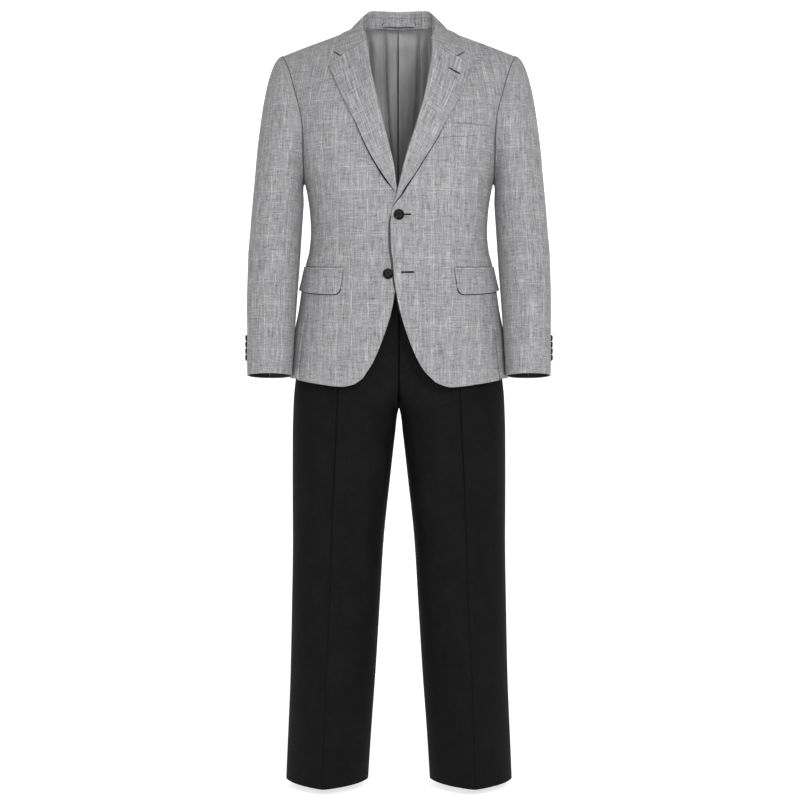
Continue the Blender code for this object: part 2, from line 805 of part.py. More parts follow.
def lapel_grid(edge, roll, sign):
    """A lapel on its own side, from the roll line to its outer edge."""
    rows, columns = 15, 5
    inner_levels = mix(GORGE[1] - 0.004, edge.key[0] + 0.008, rows)
    outer_levels = mix(edge.key[-1], edge.key[0], rows)
    inner = np.stack([sign * roll.at(inner_levels, "x"), inner_levels], 1)
    outer = np.stack([sign * edge.at(outer_levels, "x"), outer_levels], 1)
    top = straight(inner[0], outer[0], columns)
    bottom = straight(inner[-1], outer[-1], columns)
    flat = patch(top, bottom, inner, outer)
    places = as_front_places(flat[..., 0], flat[..., 1])
    grid = torso(places[..., 0], places[..., 1])
    across = np.linspace(1, 0, columns + 1)[None, :]
    down = np.sin(np.linspace(0.15, 1, rows + 1) * math.pi)[:, None]
    roll_out = LAPEL_ROLL * across**2 * (0.3 + 0.7 * down)
    return grid, roll_out[..., None]


def make_lapels():
    for name, edge, roll, sign in (
        ("lapel_left", LEFT_LAPEL, LEFT_EDGE, 1),
        ("lapel_right", RIGHT_LAPEL, RIGHT_EDGE, -1),
    ):
        grid, roll_out = lapel_grid(edge, roll, sign)
        if sign > 0:
            grid = grid - np.array([0, 1, 0]) * overlap_lift(grid[..., 0:1])
        else:
            grid = mirrored(grid)
        grid = grid + off_torso(grid) * roll_out
        wall(name, grid, LAPEL_CLOTH, "jacket", off_torso(grid), lift=LAPEL_CLOTH + LAY)


def whole_collar(half, count):
    """A curve through both halves, from the wearer's right gorge to the left one."""
    path = smooth_path(half, count // 2)
    return np.concatenate([mirrored(path[::-1])[:-1], path])


def collar_fold():
    return whole_collar(COLLAR_FOLD, COLLAR_COLUMNS)


def make_collar_fall():
    fold = collar_fold()
    edge = whole_collar(COLLAR_EDGE, COLLAR_COLUMNS)
    tip = np.array([COLLAR_EDGE[-1][0], COLLAR_EDGE[-1][2]])
    length, beyond = np.linalg.norm(NOTCH - GORGE), np.linalg.norm(tip - NOTCH)
    notch_row = max(1, round(length / (length + beyond) * COLLAR_ROWS))
    gorge = straight(GORGE, NOTCH, notch_row)
    end = np.concatenate([gorge, straight(NOTCH, tip, COLLAR_ROWS - notch_row)[1:]])
    end[:, 1] += NOTCH_GAP
    places = as_front_places(end[:, 0], end[:, 1])
    left_end = torso(places[:, 0], places[:, 1])
    grid = patch(fold, edge, mirrored(left_end), left_end)
    down = np.linspace(0, 1, COLLAR_ROWS + 1)[:, None, None]
    out = grid - np.array([0, RIDGE_Y, 0])
    out[..., 2] = 0.5 * np.linalg.norm(out[..., :2], axis=-1)
    out /= np.linalg.norm(out, axis=-1, keepdims=True)
    grid = grid + out * COLLAR_BELLY * (down * (1 - down) * 4)
    grid = rest_on_shoulder(grid, COLLAR_CLEAR + COLLAR_CLOTH)
    wall("collar_fall", grid, COLLAR_CLOTH, "jacket", off_torso(grid))


def stand_edges():
    """The fold and the neck seam that the stand runs between."""
    half = COLLAR_COLUMNS // 2
    fold = smooth_path(COLLAR_FOLD, half * 4)[: int(half * 4 * STAND_END)]
    fold = smooth_path(fold, half)
    x = np.minimum(np.abs(fold[:, 0]) * 1.03, NECK_WIDTH)
    low = torso(back_angle(x, back_neck(x)), back_neck(x))
    turned = fold[:, 1] < low[:, 1]
    low[turned, 0] = fold[turned, 0] + 0.003
    low[turned, 1] = fold[turned, 1]
    low[turned, 2] = fold[turned, 2] - 0.010
    whole_fold = np.concatenate([mirrored(fold[::-1])[:-1], fold])
    whole_low = np.concatenate([mirrored(low[::-1])[:-1], low])
    return whole_fold, whole_low


def make_collar_stand():
    fold, low = stand_edges()
    shorter = STAND_SHORTER * ease((np.abs(fold[:, :1]) - 0.045) / 0.02)
    share = np.linspace(0.10, 1.0, 4)[:, None, None] * (1 - shorter)
    grid = fold[None] * (1 - share) + low[None] * share
    normal = grid_normals(grid, np.array([0, RIDGE_Y, 0.03]))
    wall("collar_stand", grid, CLOTH, "jacket", normal, lift=-COLLAR_CLOTH - LAY)


# Small pieces


def on_front(x, height, sign=1):
    places = as_front_places(np.asarray(x, float), np.asarray(height, float))
    return torso(places[..., 0], places[..., 1])


def flap_grid():
    """A hip pocket's flap, hanging from its jet, with its front corner rounded."""
    columns, rows = 10, 4
    inner = front_angle(FLAP["inner"], FLAP["top"])
    angles = mix(inner, FLAP["outer"], columns)
    run = np.linspace(0, 1, columns + 1)
    top = FLAP["top"] + FLAP["rise"] * run
    inside = np.clip(1 - run * FLAP["width"] / FLAP_CORNER, 0, 1)
    rounding = FLAP_CORNER * (1 - np.sqrt(1 - inside**2))
    bottom = top - FLAP["fall"] + rounding
    down = np.linspace(0, 1, rows + 1)[:, None]
    heights = top[None] * (1 - down) + bottom[None] * down
    lean = FLAP["lean"] * down * (1 - run)[None]
    grid = torso(angles[None] + lean, heights)
    return grid, down[..., None]


def make_flaps():
    grid, down = flap_grid()
    normal = grid_normals(grid, torso_axis(grid))
    flap = grid + normal * FLAP_LIFT * down
    jet_top = grid[0] + np.array([0, 0, JET_HEIGHT + LAY])
    jet_low = grid[0] + np.array([0, 0, LAY])
    jet = np.stack([jet_top, jet_low])
    make_pair("pocket_flap", flap, CLOTH, "jacket", off_torso(flap), lift=CLOTH + LAY)
    make_pair("pocket_jet", jet, JET_CLOTH, "jacket", off_torso(jet), lift=JET_CLOTH + LAY)


def make_welt():
    low = smooth_path([WELT["low_inner"], WELT["low_outer"]], 8)
    high = smooth_path([WELT["high_inner"], WELT["high_outer"]], 8)
    share = np.linspace(0, 1, 3)[:, None, None]
    flat = high[None] * (1 - share) + low[None] * share
    grid = on_front(flat[..., 0], flat[..., 1])
    wall("breast_welt", grid, CLOTH, "jacket", off_torso(grid), lift=CLOTH + LAY)


def make_button(name, centre, normal, size):
    """A turned button: a dish with a raised rim, its back towards the cloth."""
    radius, thickness = size["radius"], size["thickness"]
    profile = [
        (0.00, 0.00),
        (0.86, 0.00),
        (1.00, 0.45),
        (0.90, 1.00),
        (0.70, 0.92),
        (0.56, 0.64),
        (0.00, 0.60),
    ]
    sides = 12
    normal = normal / np.linalg.norm(normal)
    up = np.array([0, 0, 1.0]) - normal * normal[2]
    up /= np.linalg.norm(up)
    across = np.cross(up, normal)
    points, faces = [], []
    for share, rise in profile[1:-1]:
        for turn in range(sides):
            angle = 2 * math.pi * turn / sides
            arm = across * math.cos(angle) + up * math.sin(angle)
            points.append(centre + arm * radius * share + normal * thickness * rise)
    rings = len(profile) - 2
    for ring in range(rings - 1):
        for turn in range(sides):
            a, b = ring * sides + turn, ring * sides + (turn + 1) % sides
            faces.append((a, b, b + sides, a + sides))
    faces.append(tuple(reversed(range(sides))))
    faces.append(tuple((rings - 1) * sides + turn for turn in range(sides)))
    handed = np.dot(np.cross(across, up), normal)
    if handed < 0:
        faces = [tuple(reversed(face)) for face in faces]
    add_object(name, points, faces, "button")


def make_front_buttons():
    places = (("front_button_top", BUTTON_TOP, OVERLAP), ("front_button_low", BUTTON_LOW, 0.0))
    for name, (x, height), lift in places:
        centre = on_front(x, height)
        around = on_front(np.array([x - 0.01, x + 0.01, x, x]), height + np.array([0, 0, 0.01, -0.01]))
        normal = np.cross(around[2] - around[3], around[1] - around[0])
        normal = normal if normal[1] < 0 else -normal
        normal /= np.linalg.norm(normal)
        make_button(name, centre + normal * (lift + LAY * 2), normal, BUTTON)


def make_cuff_buttons():
    angle = np.array([CUFF_BUTTON_ANGLE])
    for place in range(4):
        height = CUFF_BUTTON_FIRST - place * CUFF_BUTTON_PITCH
        centre = arm_ring(height, angle)[0]
        step = 0.01
        along = arm_ring(height - step, angle)[0] - arm_ring(height + step, angle)[0]
        around = arm_ring(height, angle + step)[0] - arm_ring(height, angle - step)[0]
        normal = np.cross(along, around)
        normal = normal if normal[0] > 0 else -normal
        normal /= np.linalg.norm(normal)
        spot = centre + normal * LAY * 2
        make_button(f"cuff_button_left_{place + 1}", spot, normal, CUFF_BUTTON)
        flip = np.array([-1, 1, 1])
        make_button(f"cuff_button_right_{place + 1}", spot * flip, normal * flip, CUFF_BUTTON)


def make_lining():
    """The back lining, one sheet from side to side."""
    x = mix(-LINING_WIDTH, LINING_WIDTH, LINING_COLUMNS)
    lower = 0.001 + 0.010 * ease(np.abs(x) / NECK_WIDTH - 0.6)
    top = np.minimum(back_neck(x), shoulder_height(x)) - lower
    share = mix(0, 1, LINING_ROWS, 1.4)[:, None]
    heights = top[None] * (1 - share) + LINING_HEM * share
    spread = x[None] * (1 + 0.06 * share)
    grid = torso(back_angle(spread, heights), heights)
    grid[..., 0] = spread
    loose = ease(share * LINING_ROWS / 2)
    seat = LINING_SEAT + 0.0028 * ease((np.abs(x) - 0.030) / 0.025)[None]
    depth = seat + (LINING_IN - seat) * loose
    grid = grid - off_torso(grid) * depth[..., None]
    wall("back_lining", grid, LINING, "lining", off_torso(grid))


def make_hanger_loop():
    """The loop on the inside of the collar's stand, sewn down at its ends."""
    fold, low = stand_edges()
    count = 10
    x = mix(-LOOP["width"] / 2, LOOP["width"] / 2, count)
    middle = len(fold) // 2
    half = LOOP["height"] / np.linalg.norm(fold[middle] - low[middle]) / 2
    rows = []
    for share in (LOOP["low"] - half, LOOP["low"] + half):
        line = fold * (1 - share) + low * share
        places = [np.interp(x, line[:, 0], line[:, axis]) for axis in range(3)]
        rows.append(np.stack(places, 1))
    grid = np.array(rows)
    normal = grid_normals(grid, np.array([0, RIDGE_Y, 0.03]))
    behind = COLLAR_CLOTH + LAY + CLOTH + LAY
    stand_off = LOOP["stand_off"] * np.sin(np.linspace(0, math.pi, count + 1)) ** 0.5
    grid = grid - normal * (behind + stand_off)[None, :, None]
    wall("hanger_loop", grid, LOOP["thickness"], "jacket", normal)


# Trousers


def leg_roundness(height):
    """The section's exponent: fuller at the thigh, a lens with pressed creases at the hem."""
    return LEG_SECTION - LEG_PRESSED * ease((-1.02 - height) / 0.417)


def leg_place(angle, height, front):
    """A point of a leg's outer face: the angle runs from the inner side to the outer one."""
    outer, inner = LEG.at(height, "outer"), LEG.at(height, "inner")
    middle, half = (outer + inner) / 2, (outer - inner) / 2
    depth = LEG.at(height, "front") if front else LEG.at(height, "back")
    x = middle + half * signed_power(np.sin(angle), 2 / leg_roundness(height))
    y = depth * np.cos(angle) ** (2 / leg_roundness(height))
    crease = LEG.at(height, "crease")
    ridge = CREASE * np.clip(1 - np.abs(x - crease) / CREASE_REACH, 0, 1)
    y = y + ridge * ease((WAIST_TOP - BAND_HEIGHT - height) / 0.15)
    return np.stack([x, -y if front else y, np.broadcast_to(height, x.shape)], -1)


def leg_start(height):
    """The angle at which a section starts: at the middle above the crotch."""
    outer, inner = LEG.at(height, "outer"), LEG.at(height, "inner")
    middle, half = (outer + inner) / 2, (outer - inner) / 2
    share = np.clip((SEAM - middle) / half, -1, 1)
    return np.sign(share) * np.arcsin(np.abs(share) ** (leg_roundness(height) / 2))


def leg_levels():
    top = WAIST_TOP - BAND_HEIGHT - SEAM
    rise = mix(top, CROTCH, 8, 0.75)
    return np.concatenate([rise, mix(CROTCH, TROUSER_HEM, LEG_ROWS - 8)[1:]])


def leg_grid(front):
    rows = []
    for height in leg_levels():
        start = leg_start(height)
        crease = LEG.at(height, "crease")
        outer, inner = LEG.at(height, "outer"), LEG.at(height, "inner")
        middle, half = (outer + inner) / 2, (outer - inner) / 2
        share = (crease - middle) / half
        at_crease = np.sign(share) * np.arcsin(np.abs(share) ** (leg_roundness(height) / 2))
        before = mix(start, at_crease, LEG_COLUMNS // 2 + 1)
        after = mix(at_crease, math.pi / 2, LEG_COLUMNS - LEG_COLUMNS // 2 - 1)[1:]
        rows.append(leg_place(np.concatenate([before, after]), height, front))
    return np.array(rows)


def make_legs():
    for part, front in (("trouser_front", True), ("trouser_back", False)):
        grid = leg_grid(front)
        axis = grid.mean(axis=1, keepdims=True)
        axis[..., 1] = 0
        normal = grid_normals(grid, axis)
        above = int(np.sum(leg_levels() > CROTCH + 1e-6))
        in_plane(normal, (slice(0, above), 0), 0)
        in_plane(normal, (slice(above, None), 0), 1)
        in_plane(normal, (slice(None), -1), 1)
        grid[:, [0, -1], 1] += (-1 if front else 1) * SEAM / 2
        make_pair(part, grid, TROUSER_CLOTH, "trousers", normal)


def make_waistband():
    """A ring that opens at the front middle, where it fastens."""
    columns = 32
    angles = mix(0, 2 * math.pi, columns)
    rows = []
    for height in (WAIST_TOP, WAIST_TOP - BAND_HEIGHT / 2, WAIST_TOP - BAND_HEIGHT):
        side, ahead = np.sin(angles), np.cos(angles)
        depth = np.where(ahead > 0, LEG.at(height, "front"), LEG.at(height, "back"))
        x = LEG.at(height, "outer") * signed_power(side, 2 / LEG_SECTION)
        y = -depth * signed_power(ahead, 2 / LEG_SECTION)
        rows.append(np.stack([x, y, np.full(columns + 1, height)], 1))
    grid = trimmed(np.array(rows), left=SEAM, right=SEAM)
    normal = grid_normals(grid, np.array([0, 0, WAIST_TOP]))
    in_plane(normal, (slice(None), 0), 0)
    in_plane(normal, (slice(None), -1), 0)
    wall("waistband", grid, BAND_CLOTH, "trousers", normal)


def main():
    clear_scene()
    make_fronts()
    make_sides()
    make_backs()
    make_sleeves()
    make_lapels()
    make_collar_fall()
    make_collar_stand()
    make_flaps()
    make_welt()
    make_front_buttons()
    make_cuff_buttons()
    make_lining()
    make_hanger_loop()
    make_legs()
    make_waistband()


main()
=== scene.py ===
# Two-piece suit: cloth, sewing, finishes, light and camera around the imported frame.
# Metres, Z up. The front faces -Y and the wearer's left is +X.
import json
import math

import bpy
import numpy as np
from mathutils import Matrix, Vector
from mathutils.bvhtree import BVHTree

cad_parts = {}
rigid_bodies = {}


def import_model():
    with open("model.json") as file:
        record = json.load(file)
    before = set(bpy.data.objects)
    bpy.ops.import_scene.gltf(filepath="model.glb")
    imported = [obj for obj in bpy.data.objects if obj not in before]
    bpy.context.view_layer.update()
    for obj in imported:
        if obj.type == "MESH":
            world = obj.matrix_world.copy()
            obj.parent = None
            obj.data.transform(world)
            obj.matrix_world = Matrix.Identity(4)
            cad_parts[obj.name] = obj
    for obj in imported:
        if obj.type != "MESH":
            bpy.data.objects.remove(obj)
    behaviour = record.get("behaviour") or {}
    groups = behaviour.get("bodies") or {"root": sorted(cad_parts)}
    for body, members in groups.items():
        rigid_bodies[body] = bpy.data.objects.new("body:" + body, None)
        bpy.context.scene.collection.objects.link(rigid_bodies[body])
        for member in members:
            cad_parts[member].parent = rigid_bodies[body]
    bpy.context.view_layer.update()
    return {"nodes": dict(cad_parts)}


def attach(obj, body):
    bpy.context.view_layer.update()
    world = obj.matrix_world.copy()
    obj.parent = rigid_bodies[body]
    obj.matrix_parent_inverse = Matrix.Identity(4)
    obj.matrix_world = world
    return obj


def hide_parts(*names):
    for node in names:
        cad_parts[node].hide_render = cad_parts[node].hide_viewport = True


for leftover in list(bpy.data.objects):
    bpy.data.objects.remove(leftover, do_unlink=True)
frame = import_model()
print("frame loaded:", len(frame["nodes"]), "nodes")

# Cloth in general
fabric = {
    "cloth": 0.0020,
    "seam": 0.0003,  # between neighbouring pieces
    "lay": 0.0004,  # under a piece that lies on another
    "edgeLoop": 0.0007,  # keeps the cloth's edges crisp
    "edgeRound": 0.30,
    "waves": 0.0004,
}
# How finely each piece is drawn
fine = {
    "yokeRows": 34,
    "yokePower": 1.6,
    "bodyRows": 60,
    "frontColumns": 44,
    "backColumns": 36,
    "sideColumns": 22,
    "capRows": 30,
    "armRows": 64,
    "lapelRows": 90,
    "lapelColumns": 26,
    "buttonSides": 96,
    "collarRows": 18,
    "collarColumns": 160,
    "legRows": 110,
    "legColumns": 46,
}


# Rows of sizes under named columns, read between its rows on a smooth curve
class SizeTable:
    def __init__(self, columns, rows):
        data = np.array(sorted(rows), float)
        self.names = columns.split()[1:]
        self.key = data[:, 0]
        self.value = data[:, 1:]
        self.slope = self.roundedSlopes()

    def roundedSlopes(self):
        step = np.diff(self.key)[:, None]
        rise = np.diff(self.value, axis=0) / step
        slope = np.zeros_like(self.value)
        slope[0], slope[-1] = rise[0], rise[-1]
        before, after = rise[:-1], rise[1:]
        longBefore = 2 * step[1:] + step[:-1]
        longAfter = step[1:] + 2 * step[:-1]
        sameWay = before * after > 0
        safeBefore = np.where(sameWay, before, 1)
        safeAfter = np.where(sameWay, after, 1)
        mean = (longBefore + longAfter) / (longBefore / safeBefore + longAfter / safeAfter)
        slope[1:-1] = np.where(sameWay, mean, 0)
        return slope

    def at(self, key, name):
        column = self.names.index(name)
        key = np.clip(np.asarray(key, float), self.key[0], self.key[-1])
        row = np.clip(np.searchsorted(self.key, key) - 1, 0, len(self.key) - 2)
        step = self.key[row + 1] - self.key[row]
        u = (key - self.key[row]) / step
        low, high = self.value[row, column], self.value[row + 1, column]
        lowSlope, highSlope = self.slope[row, column] * step, self.slope[row + 1, column] * step
        return (
            low * (2 * u**3 - 3 * u**2 + 1)
            + lowSlope * (u**3 - 2 * u**2 + u)
            + high * (3 * u**2 - 2 * u**3)
            + highSlope * (u**3 - u**2)
        )

    def several(self, key, names):
        return [self.at(key, name) for name in names.split()]


def ease(value):
    value = np.clip(value, 0, 1)
    return value * value * (3 - 2 * value)


# count + 1 numbers from first to last, closer together at first where power is over 1
def mix(first, last, count, power=1.0):
    return first + (last - first) * np.linspace(0, 1, count + 1) ** power


# count + 1 points evenly spaced from first to last
def straight(first, last, count):
    return first + (last - first) * np.linspace(0, 1, count + 1)[:, None]


# Distance along a path at each of its points
def runAlong(path):
    return np.concatenate([[0], np.cumsum(np.linalg.norm(np.diff(path, axis=0), axis=1))])


# Points of a path at other distances along it
def atRuns(path, places):
    run = runAlong(path)
    return np.stack([np.interp(places, run, path[:, axis]) for axis in range(path.shape[1])], 1)


# count + 1 points spaced evenly along a smooth curve through some points
def smoothPath(points, count):
    points = np.array(points, float)
    run = runAlong(points)
    names = " ".join(f"c{axis}" for axis in range(points.shape[1]))
    curve = SizeTable("s " + names, [(s, *point) for s, point in zip(run, points)])
    dense = np.stack(curve.several(mix(0, run[-1], count * 12), names), 1)
    return atRuns(dense, mix(0, runAlong(dense)[-1], count))


def unit(vectors):
    return vectors / np.maximum(np.linalg.norm(vectors, axis=-1, keepdims=True), 1e-12)


# A grid of points between four edges that meet at their ends, as a Coons patch
def patch(top, bottom, left, right):
    rows, columns = len(left), len(top)
    v = np.linspace(0, 1, rows)[:, None, None]
    u = np.linspace(0, 1, columns)[None, :, None]
    across = (1 - u) * left[:, None] + u * right[:, None]
    down = (1 - v) * top[None] + v * bottom[None]
    corners = (1 - v) * ((1 - u) * top[0] + u * top[-1]) + v * ((1 - u) * bottom[0] + u * bottom[-1])
    return across + down - corners


# Unit normals of a grid, facing away from a point or a row of points on its axis
def gridNormals(grid, axis):
    normal = unit(np.cross(np.gradient(grid, axis=0), np.gradient(grid, axis=1)))
    return normal if np.sum(normal * (grid - axis)) > 0 else -normal


# Turns the normals of an edge so that they lie in the plane of its seam
def inPlane(normal, part, axis):
    normal[part + (axis,)] = 0
    normal[part] = unit(normal[part])


def mirrored(grid):
    return grid * np.array([-1.0, 1.0, 1.0])


# The grid with its edges drawn in by small distances, to leave the seams' gaps
def trimmed(grid, top=0.0, left=0.0, right=0.0):
    grid = grid.copy()
    for edge, inside, gap in (
        (grid[0], grid[1], top),
        (grid[:, 0], grid[:, 1], left),
        (grid[:, -1], grid[:, -2], right),
    ):
        if gap:
            edge += unit(inside - edge) * gap
    return grid


# Arc lengths in metres along the grid's rows and columns, for the weave
def gridGrain(grid):
    across = np.linalg.norm(np.diff(grid, axis=1), axis=2).mean(axis=0)
    down = np.linalg.norm(np.diff(grid, axis=0), axis=2).mean(axis=1)
    return np.stack(np.meshgrid(np.append(0, np.cumsum(across)), np.append(0, np.cumsum(down))), -1)


# Soft folds as a height over a flat pattern: a row for each fold, from one end to the other
def softFolds(s, t, folds):
    height = np.zeros(np.broadcast(s, t).shape)
    for startS, startT, endS, endT, width, depth in folds:
        runS, runT = endS - startS, endT - startT
        length = math.hypot(runS, runT)
        along = ((s - startS) * runS + (t - startT) * runT) / length**2
        beside = ((s - startS) * runT - (t - startT) * runS) / length
        fade = ease(along / 0.35 + 0.3) * ease((1 - along) / 0.35 + 0.3)
        height = height + depth * np.exp(-((beside / width) ** 2)) * fade
    return height


# Slight unevenness of hand-pressed cloth
def gentleWaves(s, t):
    waves = ((37, 19, 0.4), (-53, 29, 1.3), (11, 61, 2.1))
    return fabric["waves"] * sum(np.sin(a * s + b * t + start) for a, b, start in waves) / len(waves)


# Thin extra rows and columns just inside each edge
def addLoops(grid, normals, grain):
    data = [grid, normals, grain]
    for axis in (0, 1):
        for end, inner in ((0, 1), (-1, -2)):
            reach = np.linalg.norm(np.take(data[0], inner, axis) - np.take(data[0], end, axis), axis=-1)
            share = np.minimum(fabric["edgeLoop"] / np.maximum(reach, 1e-9), 0.5)[:, None]
            where = 1 if end == 0 else data[0].shape[axis] - 1
            for index in range(3):
                edge, near = np.take(data[index], end, axis), np.take(data[index], inner, axis)
                data[index] = np.insert(data[index], where, edge + (near - edge) * share, axis)
    return data


# Adds a rolled edge: the cloth goes on round a half circle at the grid's first column
def rollEdge(sheet, radius, steps=6, turn=math.pi):
    grid, normals, grain = sheet
    edge, normal = grid[:, 0], normals[:, 0]
    ahead = edge - grid[:, 1]
    ahead = unit(ahead - normal * np.sum(ahead * normal, axis=1, keepdims=True))
    radius = np.broadcast_to(radius, (len(edge),))[:, None]
    columns, turned, runs = [], [], []
    for angle in np.linspace(turn, turn / steps, steps):
        columns.append(edge + ahead * radius * math.sin(angle) - normal * radius * (1 - math.cos(angle)))
        turned.append(normal * math.cos(angle) + ahead * math.sin(angle))
        runs.append(grain[:, 0] - np.concatenate([radius * angle, radius * 0], 1))
    return (
        np.concatenate([np.stack(columns, 1), grid], 1),
        np.concatenate([np.stack(turned, 1), normals], 1),
        np.concatenate([np.stack(runs, 1), grain], 1),
    )


# A closed sheet of cloth with rounded edges. The weave follows the "grain" map, in metres.
def makeCloth(name, sheet, thick, outside, inside=None, lift=0.0):
    grid, normals, grain = addLoops(*sheet)
    normals = unit(normals)
    outer = grid + normals * lift
    inner = outer - normals * thick
    rows, columns = outer.shape[:2]
    outward = np.zeros_like(outer)
    outward[0] += outer[0] - outer[1]
    outward[-1] += outer[-1] - outer[-2]
    outward[:, 0] += outer[:, 0] - outer[:, 1]
    outward[:, -1] += outer[:, -1] - outer[:, -2]
    middle = (outer + inner) / 2 + unit(outward) * thick * fabric["edgeRound"]
    border = [(0, c) for c in range(columns)]
    border += [(r, columns - 1) for r in range(1, rows)]
    border += [(rows - 1, c) for c in range(columns - 2, -1, -1)]
    border += [(r, 0) for r in range(rows - 2, 0, -1)]
    edgeR, edgeC = np.array(border).T
    points = np.concatenate([outer.reshape(-1, 3), inner.reshape(-1, 3), middle[edgeR, edgeC]])
    maps = np.concatenate([grain.reshape(-1, 2), grain.reshape(-1, 2), grain[edgeR, edgeC]])
    half, count = rows * columns, len(border)
    index = np.arange(half).reshape(rows, columns)
    corners = [index[:-1, :-1], index[1:, :-1], index[1:, 1:], index[:-1, 1:]]
    front = np.stack(corners, -1).reshape(-1, 4)
    back = np.roll(front[:, ::-1], 1, axis=1) + half
    first = edgeR * columns + edgeC
    ring = 2 * half + np.arange(count)
    after, nextRing = np.roll(first, -1), np.roll(ring, -1)
    upper = np.stack([first, after, nextRing, ring], 1)
    lower = np.stack([ring, nextRing, after + half, first + half], 1)
    faces = np.concatenate([front, back, upper, lower])
    r, c = rows // 2, columns // 2
    facing = np.cross(outer[r, c] - outer[r - 1, c], outer[r, c] - outer[r, c - 1])
    if np.dot(facing, normals[r, c]) < 0:
        faces = faces[:, ::-1]
    mesh = bpy.data.meshes.new(name)
    mesh.from_pydata(points.tolist(), [], faces.tolist())
    mesh.materials.append(outside)
    if inside:
        mesh.materials.append(inside)
        slots = np.zeros(len(faces), int)
        slots[len(front) : len(front) + len(back)] = 1
        mesh.polygons.foreach_set("material_index", slots)
    layer = mesh.uv_layers.new(name="grain")
    layer.data.foreach_set("uv", maps[faces.reshape(-1)].reshape(-1))
    mesh.shade_smooth()
    return place(name, mesh)


pieces = {}


def place(name, mesh):
    piece = bpy.data.objects.new(name, mesh)
    pieces[name] = piece
    bpy.context.scene.collection.objects.link(piece)
    return piece


# Makes a piece of cloth in place of a CAD node, and hides that node
def sew(name, node, cut, sheet, thick, outside, inside=None, lift=0.0, slot="jacket", restsOn=()):
    piece = makeCloth(name, sheet, thick, outside, inside, lift)
    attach(piece, "root")
    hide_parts(node)


def mirroredSheet(sheet):
    grid, normals, grain = sheet
    return mirrored(grid), mirrored(normals), grain * np.array([-1.0, 1.0])


# A material's nodes around its shader
class Nodes:
    def __init__(self, name):
        self.material = bpy.data.materials.new(name)
        self.material.use_nodes = True
        self.tree = self.material.node_tree
        self.shader = self.tree.nodes["Principled BSDF"]

    def add(self, kind, **values):
        node = self.tree.nodes.new(kind)
        for key, value in values.items():
            setattr(node, key, value)
        return node

    def link(self, source, target):
        self.tree.links.new(source, target)

    # The "grain" map stretched to a pattern of its own scale across and along the cloth
    def grainMap(self, across, along, shift=0.0, turn=0.0):
        uv = self.add("ShaderNodeUVMap", uv_map="grain")
        mapping = self.add("ShaderNodeMapping")
        mapping.inputs["Location"].default_value = (shift, shift * 0.7, 0)
        mapping.inputs["Rotation"].default_value = (0, 0, turn)
        mapping.inputs["Scale"].default_value = (across, along, 1)
        self.link(uv.outputs["UV"], mapping.inputs["Vector"])
        return mapping.outputs["Vector"]

    def noise(self, vector, detail=2.0, rough=0.5):
        node = self.add("ShaderNodeTexNoise", noise_dimensions="2D")
        node.inputs["Scale"].default_value = 1.0
        node.inputs["Detail"].default_value = detail
        node.inputs["Roughness"].default_value = rough
        self.link(vector, node.inputs["Vector"])
        return node.outputs["Fac"]

    def math(self, operation, first, second=0.0, third=None):
        node = self.add("ShaderNodeMath", operation=operation)
        for socket, value in zip(node.inputs, (first, second, third)):
            if value is None:
                continue
            if isinstance(value, (int, float)):
                socket.default_value = value
            else:
                self.link(value, socket)
        return node.outputs["Value"]

    def remap(self, value, low, high, toLow, toHigh, smooth=False):
        node = self.add("ShaderNodeMapRange", interpolation_type="SMOOTHSTEP" if smooth else "LINEAR")
        self.link(value, node.inputs["Value"])
        for socket, number in zip(("From Min", "From Max", "To Min", "To Max"), (low, high, toLow, toHigh)):
            node.inputs[socket].default_value = number
        return node.outputs["Result"]

    def part(self, vector, axis):
        node = self.add("ShaderNodeSeparateXYZ")
        self.link(vector, node.inputs["Vector"])
        return node.outputs[axis]

    # Soft thin lines at a regular distance, as a value from 0 to 1
    def lines(self, coordinate, pitch, width, shift=0.0):
        moved = self.math("ADD", coordinate, 50.0 + shift)
        away = self.math("PINGPONG", moved, pitch / 2)
        return self.remap(away, width * 0.35, width, 1.0, 0.0, smooth=True)

    def paint(self, value, dark, light):
        ramp = self.add("ShaderNodeMix", data_type="RGBA")
        self.link(value, ramp.inputs[0])
        ramp.inputs[6].default_value = (*dark, 1)
        ramp.inputs[7].default_value = (*light, 1)
        self.link(ramp.outputs[2], self.shader.inputs["Base Color"])

    def roughen(self, value, low, high):
        self.link(self.remap(value, 0.3, 0.7, low, high), self.shader.inputs["Roughness"])

    # Noise through a solid piece, which has no weave
    def solidNoise(self, scale, detail=2.0, distortion=0.0):
        node = self.add("ShaderNodeTexNoise")
        for name, number in (("Scale", scale), ("Detail", detail), ("Distortion", distortion)):
            node.inputs[name].default_value = number
        self.link(self.add("ShaderNodeTexCoord").outputs["Object"], node.inputs["Vector"])
        return node.outputs["Fac"]

    def bump(self, height, distance, strength=1.0):
        node = self.add("ShaderNodeBump")
        node.inputs["Distance"].default_value = distance
        node.inputs["Strength"].default_value = strength
        self.link(height, node.inputs["Height"])
        self.link(node.outputs["Normal"], self.shader.inputs["Normal"])

    def set(self, **values):
        for key, value in values.items():
            self.shader.inputs[key.replace("_", " ")].default_value = value


